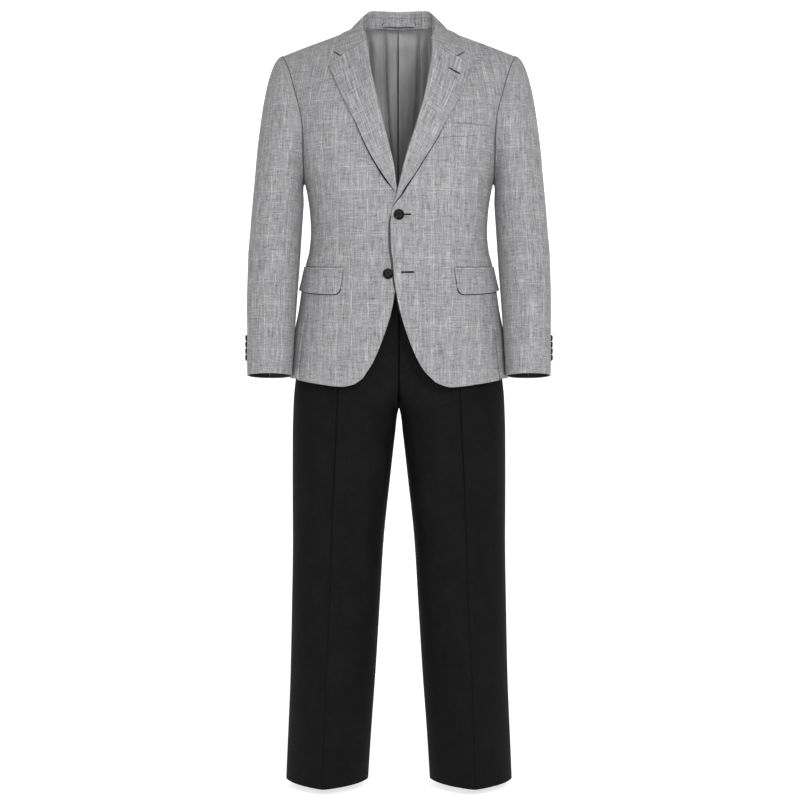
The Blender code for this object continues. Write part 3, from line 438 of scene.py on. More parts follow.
jacketFinish = {
    "dark": (0.095, 0.095, 0.099),
    "light": (0.640, 0.640, 0.650),
    "roughness": 0.88,
    "middle": 0.352,
    # Yarns: pattern across and along, its shift, where it sets in and is full, weight
    "yarns": [
        (430, 22, 0.0, 0.46, 0.74, 0.21), (30, 380, 7.7, 0.50, 0.74, 0.13),
        (410, 30, 3.1, 0.48, 0.74, -0.17), (50, 350, 1.9, 0.52, 0.74, -0.15),
    ],
    # Flecks and clouds: pattern across and along, its shift, roughness, weight
    "flecks": [
        (520, 260, 5.3, 0.65, 0.085), (22, 16, 2.2, 0.50, 0.020),
    ],
    # The check's lines: distance, then width and shift of the strong and the weak line
    "upright": (0.031, (0.0016, 0.0), (0.0012, 0.0042)),
    "level": (0.043, (0.0015, 0.007), (0.0011, 0.0112)),
    "weakLine": 0.7,
    "levelShare": 0.75,
    "check": 0.20,
    "bump": 0.0004,
}


# Light grey melange wool: uneven yarns both ways under a faint windowpane check
def jacketMaterial():
    n = Nodes("jacketWool")
    value, yarns = jacketFinish["middle"], []
    for across, along, shift, low, high, weight in jacketFinish["yarns"]:
        yarns.append(n.noise(n.grainMap(across, along, shift), 2.0, 0.6))
        value = n.math("MULTIPLY_ADD", n.remap(yarns[-1], low, high, 0, 1, True), weight, value)
    for across, along, shift, rough, weight in jacketFinish["flecks"]:
        fleck = n.noise(n.grainMap(across, along, shift), 2.0, rough)
        value = n.math("MULTIPLY_ADD", n.remap(fleck, 0.3, 0.7, -1, 1), weight, value)
    lines = []
    for axis, name in (("X", "upright"), ("Y", "level")):
        pitch, strong, weak = jacketFinish[name]
        place = n.part(n.grainMap(1, 1), axis)
        beside = n.math("MULTIPLY", n.lines(place, pitch, *weak), jacketFinish["weakLine"])
        lines.append(n.math("MAXIMUM", n.lines(place, pitch, *strong), beside))
    broken = n.remap(n.noise(n.grainMap(60, 60, 9.1), 2.0), 0.35, 0.62, 0.1, 1.0)
    level = n.math("MULTIPLY", lines[1], jacketFinish["levelShare"])
    check = n.math("MULTIPLY", n.math("MAXIMUM", lines[0], level), broken)
    value = n.math("MULTIPLY_ADD", check, jacketFinish["check"], value)
    n.paint(value, jacketFinish["dark"], jacketFinish["light"])
    n.bump(n.math("ADD", yarns[0], yarns[1]), jacketFinish["bump"], 0.7)
    n.set(Roughness=jacketFinish["roughness"], Specular_IOR_Level=0.2)
    n.set(Sheen_Weight=0.05, Sheen_Roughness=0.5)
    return n.material


liningFinish = {
    "dark": (0.36, 0.36, 0.368),
    "light": (0.50, 0.50, 0.508),
    "sleeveDark": (0.020, 0.020, 0.022),
    "sleeveLight": (0.035, 0.035, 0.038),
}


# Grey satin: fine even yarns with a soft shine
def liningMaterial(name, dark, light):
    n = Nodes(name)
    yarn = n.noise(n.grainMap(900, 60), 2.0, 0.5)
    cloud = n.noise(n.grainMap(18, 9, 4.0), 2.0, 0.5)
    value = n.math("MULTIPLY_ADD", cloud, 0.6, n.math("MULTIPLY", yarn, 0.4))
    value = n.remap(value, 0.3, 0.7, 0.0, 1.0)
    n.paint(value, dark, light)
    n.roughen(cloud, 0.38, 0.48)
    n.bump(yarn, 0.0001, 0.4)
    n.set(Specular_IOR_Level=0.35)
    return n.material


trouserFinish = {
    "dark": (0.0012, 0.0012, 0.0014),
    "light": (0.0088, 0.0088, 0.0094),
    "crease": (0.0006, 0.0024),  # painted shade: the pressed crease is dark up to here
    "creaseShadeFades": (0.30, 0.62),  # metres below the waistband
}


# Black wool with a fine twill, and a dark line of painted shade at the pressed crease
def trouserMaterial():
    n = Nodes("trouserWool")
    twill = n.noise(n.grainMap(800, 90, 1.0, math.radians(28)), 2.0, 0.5)
    cloud = n.noise(n.grainMap(26, 14, 6.0), 3.0, 0.6)
    value = n.math("MULTIPLY_ADD", cloud, 0.5, n.math("MULTIPLY", twill, 0.5))
    value = n.remap(value, 0.3, 0.7, 0.25, 1.0)
    # Painted shade of the pressed crease: black at the top, half as dark further down
    beside = n.math("ABSOLUTE", n.part(n.grainMap(1, 1), "X"))
    crease = n.remap(beside, *trouserFinish["crease"], 0.0, 1.0, True)
    creaseShadeFading = n.remap(n.part(n.grainMap(1, 1), "Y"), *trouserFinish["creaseShadeFades"], 0.0, 0.5, True)
    value = n.math("MULTIPLY", value, n.math("MAXIMUM", crease, creaseShadeFading))
    n.paint(value, trouserFinish["dark"], trouserFinish["light"])
    n.roughen(cloud, 0.76, 0.86)
    n.bump(twill, 0.0002, 0.5)
    n.set(Specular_IOR_Level=0.10)
    return n.material


buttonFinish = {"dark": (0.0020, 0.0020, 0.0023), "light": (0.0080, 0.0075, 0.0075)}


# Dark horn, clouded and polished
def buttonMaterial():
    n = Nodes("buttonHorn")
    swirl = n.solidNoise(160, 3, 1.2)
    n.paint(n.remap(swirl, 0.35, 0.65, 0.0, 1.0), buttonFinish["dark"], buttonFinish["light"])
    n.roughen(swirl, 0.09, 0.15)
    n.set(Specular_IOR_Level=0.15)
    return n.material


# Tones of the sewing thread and of the dark cords that paint shade: charcoal and black serve both, the grey
# shade tone only paints shade
threadAndShadeTones = {
    "charcoal": (0.022, 0.022, 0.024),
    "black": (0.0006, 0.0006, 0.0007),
    "shade": (0.085, 0.085, 0.088),
}


# Twisted sewing thread, also used on the dark cords that paint shade in seams and under edges
def threadAndShadeMaterial(name, tone):
    n = Nodes(name + "ThreadAndShade")
    n.paint(n.solidNoise(2600), [part * 0.75 for part in tone], [part * 1.3 for part in tone])
    n.set(Roughness=0.8, Specular_IOR_Level=0.05)
    return n.material


wool = jacketMaterial()
satin = liningMaterial("liningSatin", liningFinish["dark"], liningFinish["light"])
sleeveSatin = liningMaterial("sleeveSatin", liningFinish["sleeveDark"], liningFinish["sleeveLight"])
trouserWool = trouserMaterial()
horn = buttonMaterial()
threadAndShadeMaterials = {name: threadAndShadeMaterial(name, tone) for name, tone in threadAndShadeTones.items()}
print("finishes made")

# Body of the jacket
bodyCut = {
    "ridgeY": 0.008,  # the shoulder seams' plane
    "ridgeNeck": 0.055,
    "ridgeFall": 0.376,
    "shoulderTip": 0.227,
    "shoulderRound": 0.020,
    "chestDrop": 0.200,
    "shoulderArch": 1.8,
    "section": 2.35,  # roundness of a level section, 2 is an ellipse
    "hem": -0.657,
    "armpit": -0.278,
    "frontSeamTop": -0.215,
    "backSeamTop": -0.200,
    "frontSeamHem": math.radians(64),
    "backSeamHem": math.radians(118),
    "yokeFrom": -0.17,  # above it the weave is eased in
    "yokeEase": 0.16,
}
bodySizes = SizeTable(
    "height frontWidth backWidth frontDepth backDepth",
    [
        (-0.700, 0.2150, 0.2150, 0.130, 0.122), (-0.657, 0.2103, 0.2103, 0.130, 0.120),
        (-0.600, 0.2045, 0.2045, 0.129, 0.116), (-0.559, 0.1998, 0.1998, 0.127, 0.112),
        (-0.521, 0.1945, 0.1945, 0.126, 0.107), (-0.480, 0.1885, 0.1885, 0.124, 0.101),
        (-0.434, 0.1810, 0.1810, 0.122, 0.093), (-0.410, 0.1753, 0.1753, 0.121, 0.090),
        (-0.370, 0.1720, 0.1720, 0.120, 0.088), (-0.330, 0.1738, 0.1738, 0.121, 0.092),
        (-0.300, 0.1788, 0.1788, 0.124, 0.099), (-0.278, 0.1840, 0.1840, 0.126, 0.104),
        (-0.250, 0.1900, 0.1990, 0.128, 0.109), (-0.220, 0.1957, 0.2110, 0.129, 0.112),
        (-0.180, 0.2036, 0.2195, 0.129, 0.115), (-0.114, 0.2217, 0.2300, 0.128, 0.116),
        (-0.077, 0.2320, 0.2380, 0.127, 0.115), (-0.050, 0.2440, 0.2450, 0.126, 0.113),
        (-0.030, 0.2560, 0.2560, 0.125, 0.111), (0.060, 0.3000, 0.3000, 0.120, 0.108),
    ],
)
armholeSizes = SizeTable(
    "height front back",
    [
        (-0.2780, 0.1840, 0.1840), (-0.2500, 0.1838, 0.1890), (-0.2210, 0.1838, 0.1940),
        (-0.1785, 0.1850, 0.2000), (-0.1490, 0.1890, 0.2040), (-0.1140, 0.1980, 0.2090),
        (-0.0770, 0.2080, 0.2140), (-0.0500, 0.2170, 0.2190), (-0.0304, 0.2270, 0.2270),
    ],
)


def shoulderHeight(x):
    soft = bodyCut["shoulderRound"]
    return bodyCut["ridgeNeck"] - bodyCut["ridgeFall"] * (np.sqrt(x * x + soft**2) - soft / 2)


def signedPower(value, power):
    return np.sign(value) * np.abs(value) ** power


# Half width and depth of the body at a height, in front of the shoulder seams or behind
def bodySection(height, inFront):
    width = np.where(inFront, *bodySizes.several(height, "frontWidth backWidth"))
    return width, np.where(inFront, *bodySizes.several(height, "frontDepth backDepth"))


# A point of the jacket's outer face. The angle runs from the front middle round to +X.
def torso(angle, height):
    angle, height = np.broadcast_arrays(np.asarray(angle, float), np.asarray(height, float))
    side, ahead = np.sin(angle), np.cos(angle)
    width, depth = bodySection(height, ahead >= 0)
    x = width * signedPower(side, 2 / bodyCut["section"])
    down = np.clip((shoulderHeight(x) - height) / bodyCut["chestDrop"], 0, 1)
    arch = (1 - (1 - down) ** bodyCut["shoulderArch"]) ** (1 / bodyCut["shoulderArch"])
    y = bodyCut["ridgeY"] - depth * signedPower(ahead, 2 / bodyCut["section"]) * arch
    return np.stack([x, y, height], -1)


def frontAngle(x, height):
    share = np.clip(np.abs(x) / bodySizes.at(height, "frontWidth"), 0, 1)
    return np.sign(x) * np.arcsin(share ** (bodyCut["section"] / 2))


def backAngle(x, height):
    share = np.clip(np.abs(x) / bodySizes.at(height, "backWidth"), 0, 1)
    return math.pi - np.arcsin(share ** (bodyCut["section"] / 2))


# Unit normals of the jacket's outer face, alike on both sides of a seam
def torsoNormals(angle, height):
    turn, rise = 0.02, 0.002
    along = torso(angle + turn, height) - torso(angle - turn, height)
    down = torso(angle, height - rise) - torso(angle, height + rise)
    return unit(np.cross(down, along))


def torsoAxis(grid):
    axis = grid.copy()
    axis[..., 0] *= 0.3
    axis[..., 1] = bodyCut["ridgeY"]
    axis[..., 2] = np.minimum(axis[..., 2], -0.10)
    return axis


def offTorso(grid):
    return gridNormals(grid, torsoAxis(grid))


# Turns a distance from the middle into an angle round the body
angleOf = {"front": frontAngle, "back": backAngle}


# The seam between the side panel and the front or back, from the armhole to the hem
def panelSeam(side):
    top = bodyCut[side + "SeamTop"]
    start = angleOf[side](armholeSizes.at(top, side), top)
    around = mix(start, bodyCut[side + "SeamHem"], fine["bodyRows"])
    return np.stack([around, mix(top, bodyCut["hem"], fine["bodyRows"])], 1)


# The armhole on the front or back, from the shoulder down
def armhole(side):
    tip = shoulderHeight(bodyCut["shoulderTip"])
    levels = mix(tip, bodyCut[side + "SeamTop"], fine["yokeRows"], fine["yokePower"])
    return np.stack([angleOf[side](armholeSizes.at(levels, side), levels), levels], 1)


# The foot of the armhole on the side panel, from front to back
def armholeUnder():
    halves = []
    for side in ("front", "back"):
        rise = (bodyCut[side + "SeamTop"] - bodyCut["armpit"]) * mix(0, 1, fine["sideColumns"] // 2) ** 2
        levels = bodyCut["armpit"] + rise
        halves.append(np.stack([angleOf[side](armholeSizes.at(levels, side), levels), levels], 1))
    front = halves[0][::-1]
    front[-1, 0] = math.pi / 2
    return np.concatenate([front, halves[1][1:]])


def asFrontPlaces(x, height):
    return np.stack([frontAngle(x, height), height], -1)


# Points and normals at places given by angle and height
def onTorso(places):
    angle, height = places[..., 0], places[..., 1]
    return torso(angle, height), torsoNormals(angle, height)


def onFront(x, height):
    return torso(frontAngle(x, height), height)


# Heights of a front's or back's rows, closer together at the shoulder
def panelLevels(top, seamTop, foot):
    yoke = mix(top, seamTop, fine["yokeRows"], fine["yokePower"])
    return np.concatenate([yoke, mix(seamTop, foot, fine["bodyRows"])[1:]])


# Distance round the body from the front or back middle, for the weave
def torsoGrain(places, middle=0.0):
    angle, height = places[..., 0], places[..., 1]
    shares = np.linspace(0, 1, 18)
    path = np.stack([torso(middle + (angle - middle) * share, height) for share in shares])
    run = np.linalg.norm(np.diff(path, axis=0), axis=-1).sum(axis=0)
    run = run * (1 + bodyCut["yokeEase"] * ease((height - bodyCut["yokeFrom"]) / -bodyCut["yokeFrom"]))
    return np.stack([run, -height], -1)


# Fronts
frontCut = {
    "flat": (0.287, 0.706, 0.130),
    "overlap": 0.0027,
    "overlapEnd": 0.014,
    "overlapEase": 0.026,
    "spring": 0.0024,  # the left edge stands off the right front
    "springReach": 0.016,
    "springFrom": -0.335,
    "springTo": -0.60,
}
leftEdge = SizeTable(
    "height x",
    [
        (0.0275, 0.0735), (0.0180, 0.0700), (0.0000, 0.0665), (-0.0160, 0.0655), (-0.0414, 0.0645),
        (-0.0865, 0.0581), (-0.1383, 0.0480), (-0.1870, 0.0334), (-0.2314, 0.0191), (-0.2754, 0.0071),
        (-0.3083, -0.0030), (-0.3362, -0.0112), (-0.3690, -0.0157), (-0.4060, -0.0150),
        (-0.4420, -0.0107), (-0.4735, -0.0084), (-0.4940, -0.0056), (-0.5250, 0.0000),
        (-0.5577, 0.0094), (-0.6101, 0.0286), (-0.6438, 0.0465), (-0.6660, 0.0680),
    ],
)
rightEdge = SizeTable(
    "height x",
    [
        (0.0275, -0.0735), (0.0180, -0.0700), (0.0000, -0.0655), (-0.0201, -0.0628),
        (-0.0746, -0.0559), (-0.1223, -0.0459), (-0.1736, -0.0337), (-0.2216, -0.0216),
        (-0.2706, -0.0096), (-0.3016, -0.0039), (-0.3300, 0.0060), (-0.3600, 0.0110),
        (-0.4300, 0.0110), (-0.4600, 0.0060), (-0.4935, -0.0066), (-0.5334, -0.0144),
        (-0.5727, -0.0264), (-0.6289, -0.0490), (-0.6600, -0.0690),
    ],
)
hemEnd = [(0.1600, -0.6680), (0.1950, -0.6610), (0.2100, -0.6570)]
leftHem = SizeTable("x height", [(0.0680, -0.6660), (0.0800, -0.6715), (0.0970, -0.6755)] + hemEnd)
rightHem = SizeTable("x height", [(0.0690, -0.6600), (0.0860, -0.6705), (0.1070, -0.6745)] + hemEnd)
# Soft folds: distance from the middle and height at both ends, width and depth
leftFrontFolds = [
    (0.020, -0.362, 0.105, -0.405, 0.010, 0.0010), (0.030, -0.338, 0.110, -0.335, 0.012, -0.0009),
    (0.125, -0.240, 0.175, -0.330, 0.013, 0.0016), (0.150, -0.215, 0.150, -0.300, 0.011, -0.0014),
    (0.100, -0.150, 0.165, -0.075, 0.022, 0.0014), (0.060, -0.480, 0.080, -0.640, 0.020, 0.0012),
    (0.120, -0.510, 0.140, -0.640, 0.018, -0.0012),
]
rightFrontFolds = [
    (0.030, -0.350, 0.110, -0.395, 0.010, 0.0011), (0.035, -0.375, 0.100, -0.425, 0.009, -0.0009),
    (0.115, -0.235, 0.165, -0.330, 0.013, 0.0016), (0.150, -0.220, 0.150, -0.300, 0.011, -0.0014),
    (0.095, -0.140, 0.160, -0.080, 0.022, 0.0014), (0.050, -0.490, 0.060, -0.630, 0.020, 0.0012),
    (0.115, -0.510, 0.125, -0.640, 0.018, -0.0012),
]


# How far the left front stands over the right one, at x
def overlapLift(x):
    return frontCut["overlap"] * (1 - ease((x - frontCut["overlapEnd"]) / frontCut["overlapEase"]))


# One front, on its own side, from its edge and cutaway to the armhole and side seam
def frontGrid(edge, hem, sign):
    innerLevels = panelLevels(edge.key[-1], bodyCut["frontSeamTop"], edge.key[0])
    inner = asFrontPlaces(sign * edge.at(innerLevels, "x"), innerLevels)
    outer = np.concatenate([armhole("front"), panelSeam("front")[1:]])
    topX = mix(sign * edge.value[-1, 0], bodyCut["shoulderTip"], fine["frontColumns"])
    top = asFrontPlaces(topX, shoulderHeight(topX))
    hemX = mix(sign * edge.value[0, 0], torso(*outer[-1])[0], fine["frontColumns"])
    bottom = asFrontPlaces(hemX, hem.at(hemX, "height"))
    inner[0], inner[-1] = top[0], bottom[0]
    outer[0], outer[-1] = top[-1], bottom[-1]
    return onTorso(patch(top, bottom, inner, outer))


# How far the front's cloth stands out at its folds
def frontRelief(places, folds):
    grain = torsoGrain(places)
    around, height = grain[..., 0], places[..., 1]
    return softFolds(around, height, folds) + gentleWaves(around, height), grain


def frontSheet(edge, hem, sign, folds):
    grid, normals = frontGrid(edge, hem, sign)
    places = np.stack([frontAngle(grid[..., 0], grid[..., 2]), grid[..., 2]], -1)
    height, grain = frontRelief(places, folds)
    inPlane(normals, (0, slice(None)), 1)
    return grid + normals * height[..., None], normals, grain


fronts = {
    "left": {"sign": 1, "edge": leftEdge, "hem": leftHem, "folds": leftFrontFolds},
    "right": {"sign": -1, "edge": rightEdge, "hem": rightHem, "folds": rightFrontFolds},
}


# How far the left front's free edge springs off the right front
def overlapSpring(grid):
    fromEdge = np.linalg.norm(grid - grid[:, :1], axis=2)
    spring = frontCut["spring"] * (1 - ease(fromEdge / frontCut["springReach"]))
    spring = spring * ease((frontCut["springFrom"] - grid[..., 2]) / 0.02)
    return spring * ease((grid[..., 2] - frontCut["springTo"]) / 0.05)


def makeFronts():
    for side, front in fronts.items():
        grid, normals, grain = frontSheet(front["edge"], front["hem"], front["sign"], front["folds"])
        if side == "left":
            spring = overlapLift(grid[..., 0]) + overlapSpring(grid)
            grid = grid - np.array([0, 1, 0]) * spring[..., None]
        front["line"] = grid[:, 0]
        sheet = trimmed(grid, top=fabric["seam"] / 2, right=fabric["seam"]), normals, grain
        sheet = sheet if side == "left" else mirroredSheet(sheet)
        name, node = "front" + side.capitalize(), "jacket_front_" + side
        sew(name, node, frontCut, sheet, fabric["cloth"], wool, satin)


makeFronts()
print("fronts made")

# Side panels
sideFolds = [
    (0.240, -0.540, 0.245, -0.720, 0.050, 0.0032), (0.235, -0.300, 0.250, -0.400, 0.014, 0.0012),
    (0.225, -0.420, 0.245, -0.600, 0.018, 0.0010),
]


def sideGrid():
    left, right = panelSeam("front"), panelSeam("back")
    top = armholeUnder()
    around = mix(left[-1, 0], right[-1, 0], fine["sideColumns"])
    bottom = np.stack([around, np.full(len(around), bodyCut["hem"])], 1)
    bottom[0, 1] = leftHem.at(torso(*left[-1])[0], "height")
    left[0], left[-1], right[0] = top[0], bottom[0], top[-1]
    return onTorso(patch(top, bottom, left, right))


# A piece for the wearer's left side and its mirror image for the right one
def sewPair(name, node, cut, sheet, *finish, restsOn=(), **more):
    for side, part in (("left", sheet), ("right", mirroredSheet(sheet))):
        under = [f"{piece}_{side}" for piece in restsOn]
        sew(name + side.capitalize(), f"{node}_{side}", cut, part, *finish, restsOn=under, **more)


sideCut = {"flat": (0.155, 0.462, 0.0487)}


def makeSides():
    grid, normals = sideGrid()
    angle = np.arccos(np.clip((bodyCut["ridgeY"] - grid[..., 1]) / 0.14, -1, 1))
    even = np.linspace(angle[:, 0].mean(), angle[:, -1].mean(), grid.shape[1])
    angle = np.broadcast_to(even, angle.shape)
    grain = torsoGrain(np.stack([angle, grid[..., 2]], -1))
    height = softFolds(grain[..., 0], grid[..., 2], sideFolds)
    grid = trimmed(grid + normals * height[..., None], left=fabric["seam"] / 2, right=fabric["seam"] / 2)
    sewPair("side", "jacket_side", sideCut, (grid, normals, grain), fabric["cloth"], wool, satin)


makeSides()
print("side panels made")

# Back
backCut = {"flat": (0.282, 0.695, 0.142)}
neckCut = {"halfWidth": 0.0745, "back": 0.038, "side": 0.027}
backFolds = [
    (0.040, -0.330, 0.130, -0.365, 0.014, 0.0012), (0.030, -0.370, 0.120, -0.400, 0.012, -0.0010),
    (0.120, -0.120, 0.170, -0.240, 0.016, 0.0016), (0.060, -0.450, 0.070, -0.620, 0.020, 0.0012),
]


def backNeck(x):
    return neckCut["back"] - (neckCut["back"] - neckCut["side"]) * (x / neckCut["halfWidth"]) ** 2


# A back's places given by height and distance from the middle
def asBackPlaces(x, height):
    return np.stack([backAngle(x, height), height], -1)


# The left back, from the armhole and side seam to the middle seam
def backGrid():
    columns = fine["backColumns"]
    outer = np.concatenate([armhole("back"), panelSeam("back")[1:]])
    seamX = mix(bodyCut["shoulderTip"], neckCut["halfWidth"], columns - columns // 2)
    neckX = mix(neckCut["halfWidth"], 0, columns // 2)[1:]
    top = [asBackPlaces(seamX, shoulderHeight(seamX)), asBackPlaces(neckX, backNeck(neckX))]
    top = np.concatenate(top)
    around = mix(outer[-1, 0], math.pi, columns)
    bottom = np.stack([around, np.full(len(around), bodyCut["hem"])], 1)
    levels = panelLevels(neckCut["back"], bodyCut["backSeamTop"], bodyCut["hem"])
    middle = np.stack([np.full(len(levels), math.pi), levels], 1)
    outer[0] = top[0]
    return onTorso(patch(top, bottom, outer, middle))


def makeBacks():
    grid, normals = backGrid()
    shoulder = fine["backColumns"] - fine["backColumns"] // 2
    inPlane(normals, (0, slice(0, shoulder + 1)), 1)
    inPlane(normals, (slice(None), -1), 0)
    grain = torsoGrain(asBackPlaces(grid[..., 0], grid[..., 2]), math.pi)
    around, level = grain[..., 0], grid[..., 2]
    height = softFolds(around, level, backFolds) + gentleWaves(around, level)
    half = fabric["seam"] / 2
    grid = trimmed(grid + normals * height[..., None], top=half, left=fabric["seam"], right=half)
    sewPair("back", "jacket_back", backCut, (grid, normals, grain), fabric["cloth"], wool, satin)


makeBacks()
print("backs made")

# Sleeves
sleeveCuts = {
    "topSleeve": {"flat": (0.215, 0.630, 0.123)},
    "underSleeve": {"flat": (0.157, 0.511, 0.0723)},
}
sleeveCut = {
    "frontSeam": math.radians(118),  # round from the shoulder
    "backSeam": math.radians(-82),
    "capStart": 0.40,
    "capEnd": 0.90,
    "leaves": (-0.45, -0.15),  # ways ahead and up in which it leaves the armhole
    "arrives": (0.09, -0.06, -1.0),
    "girth": 0.056,  # metres round the arm for each radian
    "foldsFrom": 0.20,
    "foldsEase": 0.03,
}
armSizes = SizeTable(
    "height outer inner front back sideTilt lean",
    [
        (-0.310, 0.2838, 0.1862, -0.080, 0.076, 0.22, 0.04),
        (-0.388, 0.2902, 0.1906, -0.083, 0.066, 0.12, 0.08),
        (-0.432, 0.2932, 0.1928, -0.088, 0.057, 0.06, 0.11),
        (-0.497, 0.2945, 0.1968, -0.095, 0.043, 0.02, 0.13),
        (-0.553, 0.2930, 0.2000, -0.101, 0.029, 0.00, 0.12),
        (-0.605, 0.2918, 0.2030, -0.104, 0.016, 0.00, 0.10),
        (-0.653, 0.2910, 0.2055, -0.105, 0.003, 0.00, 0.08),
    ],
)
# Soft folds: metres round the arm from its outer side, height, width and depth
sleeveFolds = [
    (0.030, -0.150, 0.050, -0.260, 0.012, 0.0014), (-0.020, -0.120, -0.010, -0.240, 0.014, 0.0012),
    (0.110, -0.300, 0.060, -0.345, 0.009, -0.0022), (0.120, -0.330, 0.070, -0.365, 0.009, 0.0022),
    (0.130, -0.375, 0.075, -0.390, 0.008, -0.0020), (0.125, -0.400, 0.070, -0.420, 0.009, 0.0018),
    (0.120, -0.440, 0.080, -0.470, 0.009, -0.0012), (0.040, -0.450, 0.050, -0.600, 0.014, 0.0010),
    (0.176, -0.500, 0.176, -0.700, 0.040, 0.0022), (0.000, -0.420, -0.010, -0.560, 0.014, -0.0010),
]


# The armhole's points from the shoulder tip, down the front and up the back
def armholeRing():
    under = armholeUnder()
    places = np.concatenate([armhole("front")[:-1], under, armhole("back")[::-1][1:]])
    return torso(places[:, 0], places[:, 1])


# Angles round the arm that go with the ring's points: half a turn to the armpit
def ringAngles(ring):
    run = runAlong(ring)
    foot = fine["yokeRows"] + fine["sideColumns"] // 2
    down = run[: foot + 1] / run[foot] * math.pi
    up = math.pi + (run[foot + 1 :] - run[foot]) / (run[-1] - run[foot]) * math.pi
    return np.concatenate([down, up])


# A ring of the sleeve: the angle runs from the outside, through the front
def armRing(height, angles):
    outer, inner, front, back, sideTilt, lean = armSizes.several(height, " ".join(armSizes.names))
    across = (outer - inner) / 2 * np.cos(angles)
    ahead = (front - back) / 2 * np.sin(angles)
    tilt = sideTilt * across - lean * ahead
    return np.stack([(outer + inner) / 2 + across, (front + back) / 2 + ahead, height + tilt], 1)


def sleeveGrid():
    start = armholeRing() + np.array([fabric["lay"], 0, 0])
    angles = ringAngles(start)
    topOfArm, cuff = armSizes.key[-1], armSizes.key[0]
    end = armRing(topOfArm, angles)
    reach = np.linalg.norm(end - start, axis=1, keepdims=True)
    outward, (ahead, up) = np.ones_like(angles), sleeveCut["leaves"]
    leaving = unit(np.stack([outward, ahead * np.sin(angles), up * outward], 1))
    arriving = np.array(sleeveCut["arrives"])
    rows = []
    for u in mix(0, 1, fine["capRows"], 1.25)[:-1]:
        rows.append(
            start * (2 * u**3 - 3 * u**2 + 1)
            + leaving * reach * sleeveCut["capStart"] * (u**3 - 2 * u**2 + u)
            + end * (3 * u**2 - 2 * u**3)
            + arriving * reach * sleeveCut["capEnd"] * (u**3 - u**2)
        )
    rows += [armRing(height, angles) for height in mix(topOfArm, cuff, fine["armRows"])]
    return np.array(rows), angles


# The sleeve's rings with its folds, and their normals and angles
def foldedSleeve():
    ring, angles = sleeveGrid()
    roundArm = np.concatenate([ring[:, -2:-1], ring, ring[:, 1:2]], axis=1)
    normals = gridNormals(roundArm, ring.mean(axis=1, keepdims=True))[:, 1:-1]
    turn = np.where(angles > math.pi, angles - 2 * math.pi, angles)
    around = np.broadcast_to(turn * sleeveCut["girth"], ring.shape[:2])
    height = softFolds(around, ring[..., 2], sleeveFolds) + gentleWaves(around, ring[..., 2])
    height = height * ease((ring[..., 0] - sleeveCut["foldsFrom"]) / sleeveCut["foldsEase"])
    return ring + normals * height[..., None], normals, angles


# Metres round the arm and down it, for the weave
def sleeveGrain(ring):
    outer, inner, front, back = armSizes.several(
        np.minimum(ring[..., 2], armSizes.key[-1]), "outer inner front back"
    )
    across = (2 * ring[..., 0] - outer - inner) / (outer - inner)
    ahead = (front + back - 2 * ring[..., 1]) / (back - front)
    turn = np.unwrap(np.arctan2(ahead, across), axis=1)
    quarter = turn[:, ring.shape[1] // 4]
    turn = turn - 2 * math.pi * np.round((quarter - math.pi / 2) / (2 * math.pi))[:, None]
    return np.stack([turn * sleeveCut["girth"], -ring[..., 2]], -1)


def makeSleeves():
    ring, normals, angles = foldedSleeve()
    grain = sleeveGrain(ring)
    front = int(np.argmin(np.abs(angles - sleeveCut["frontSeam"])))
    back = int(np.argmin(np.abs(angles - sleeveCut["backSeam"] - 2 * math.pi)))
    under = np.arange(front, back + 1)
    top = np.concatenate([np.arange(back, len(angles) - 1), np.arange(0, front + 1)])
    for name, node, columns in (("topSleeve", "top_sleeve", top), ("underSleeve", "under_sleeve", under)):
        grid = trimmed(ring[:, columns], left=fabric["seam"], right=fabric["seam"])
        run = grain[:, columns].copy()
        run[..., 0] = np.unwrap(run[..., 0] / sleeveCut["girth"], axis=1) * sleeveCut["girth"]
        sheet = grid, normals[:, columns], run
        sewPair(name, node, sleeveCuts[name], sheet, fabric["cloth"], wool, sleeveSatin)
    return ring[0], normals[0]


armholeSeam = makeSleeves()
print("sleeves made")

# Lapels
lapelCut = {
    "flat": {"left": (0.058, 0.325, 0.0175), "right": (0.060, 0.296, 0.0171)},
    "cloth": 0.0022,
    "roll": 0.0035,
    "rollRadius": 0.0036,
    "stand": 0.0003,  # between lapel and front
    "topRoom": 0.004,
    "tipRoom": 0.008,
    "spring": {"left": 0.0026, "right": 0.0034},
    "edgeSpring": 0.0008,
}
collarCut = {
    "flat": (0.440, 0.074, 0.0288),
    "standFlat": (0.338, 0.027, 0.0085),
    "cloth": 0.0018,
    "clear": 0.0005,
    "belly": 0.0048,
    "sideBelly": 0.0055,
    "sideReach": 0.030,
    "notch": np.array([0.1095, -0.0440]),
    "gorge": np.array([0.0640, -0.0120]),
    "notchGap": 0.0004,
    "standEnd": 0.86,
    "standShorter": 0.10,
    "standDeeper": 0.15,
    "standRows": 14,
    "standFrom": 0.05,
    "standTo": 1.08,
    "neckEase": 1.03,
    "turnOut": 0.003,
    "turnDown": 0.010,
    "endEase": 0.12,
    "pullEase": 0.14,
    "edgeLay": 0.0013,
    "rollRadius": 0.0026,
    "pullBack": 0.07,
}
leftLapel = SizeTable(
    "height x",
    [
        (-0.0647, 0.1376), (-0.1031, 0.1228), (-0.1325, 0.1108), (-0.1730, 0.0888), (-0.2078, 0.0712),
        (-0.2415, 0.0502), (-0.2752, 0.0287), (-0.3040, 0.0094), (-0.3350, -0.0106),
    ],
)
rightLapel = SizeTable(
    "height x",
    [
        (-0.0609, -0.1342), (-0.1264, -0.1058), (-0.1761, -0.0816), (-0.2300, -0.0573),
        (-0.2707, -0.0335), (-0.3090, -0.0066),
    ],
)


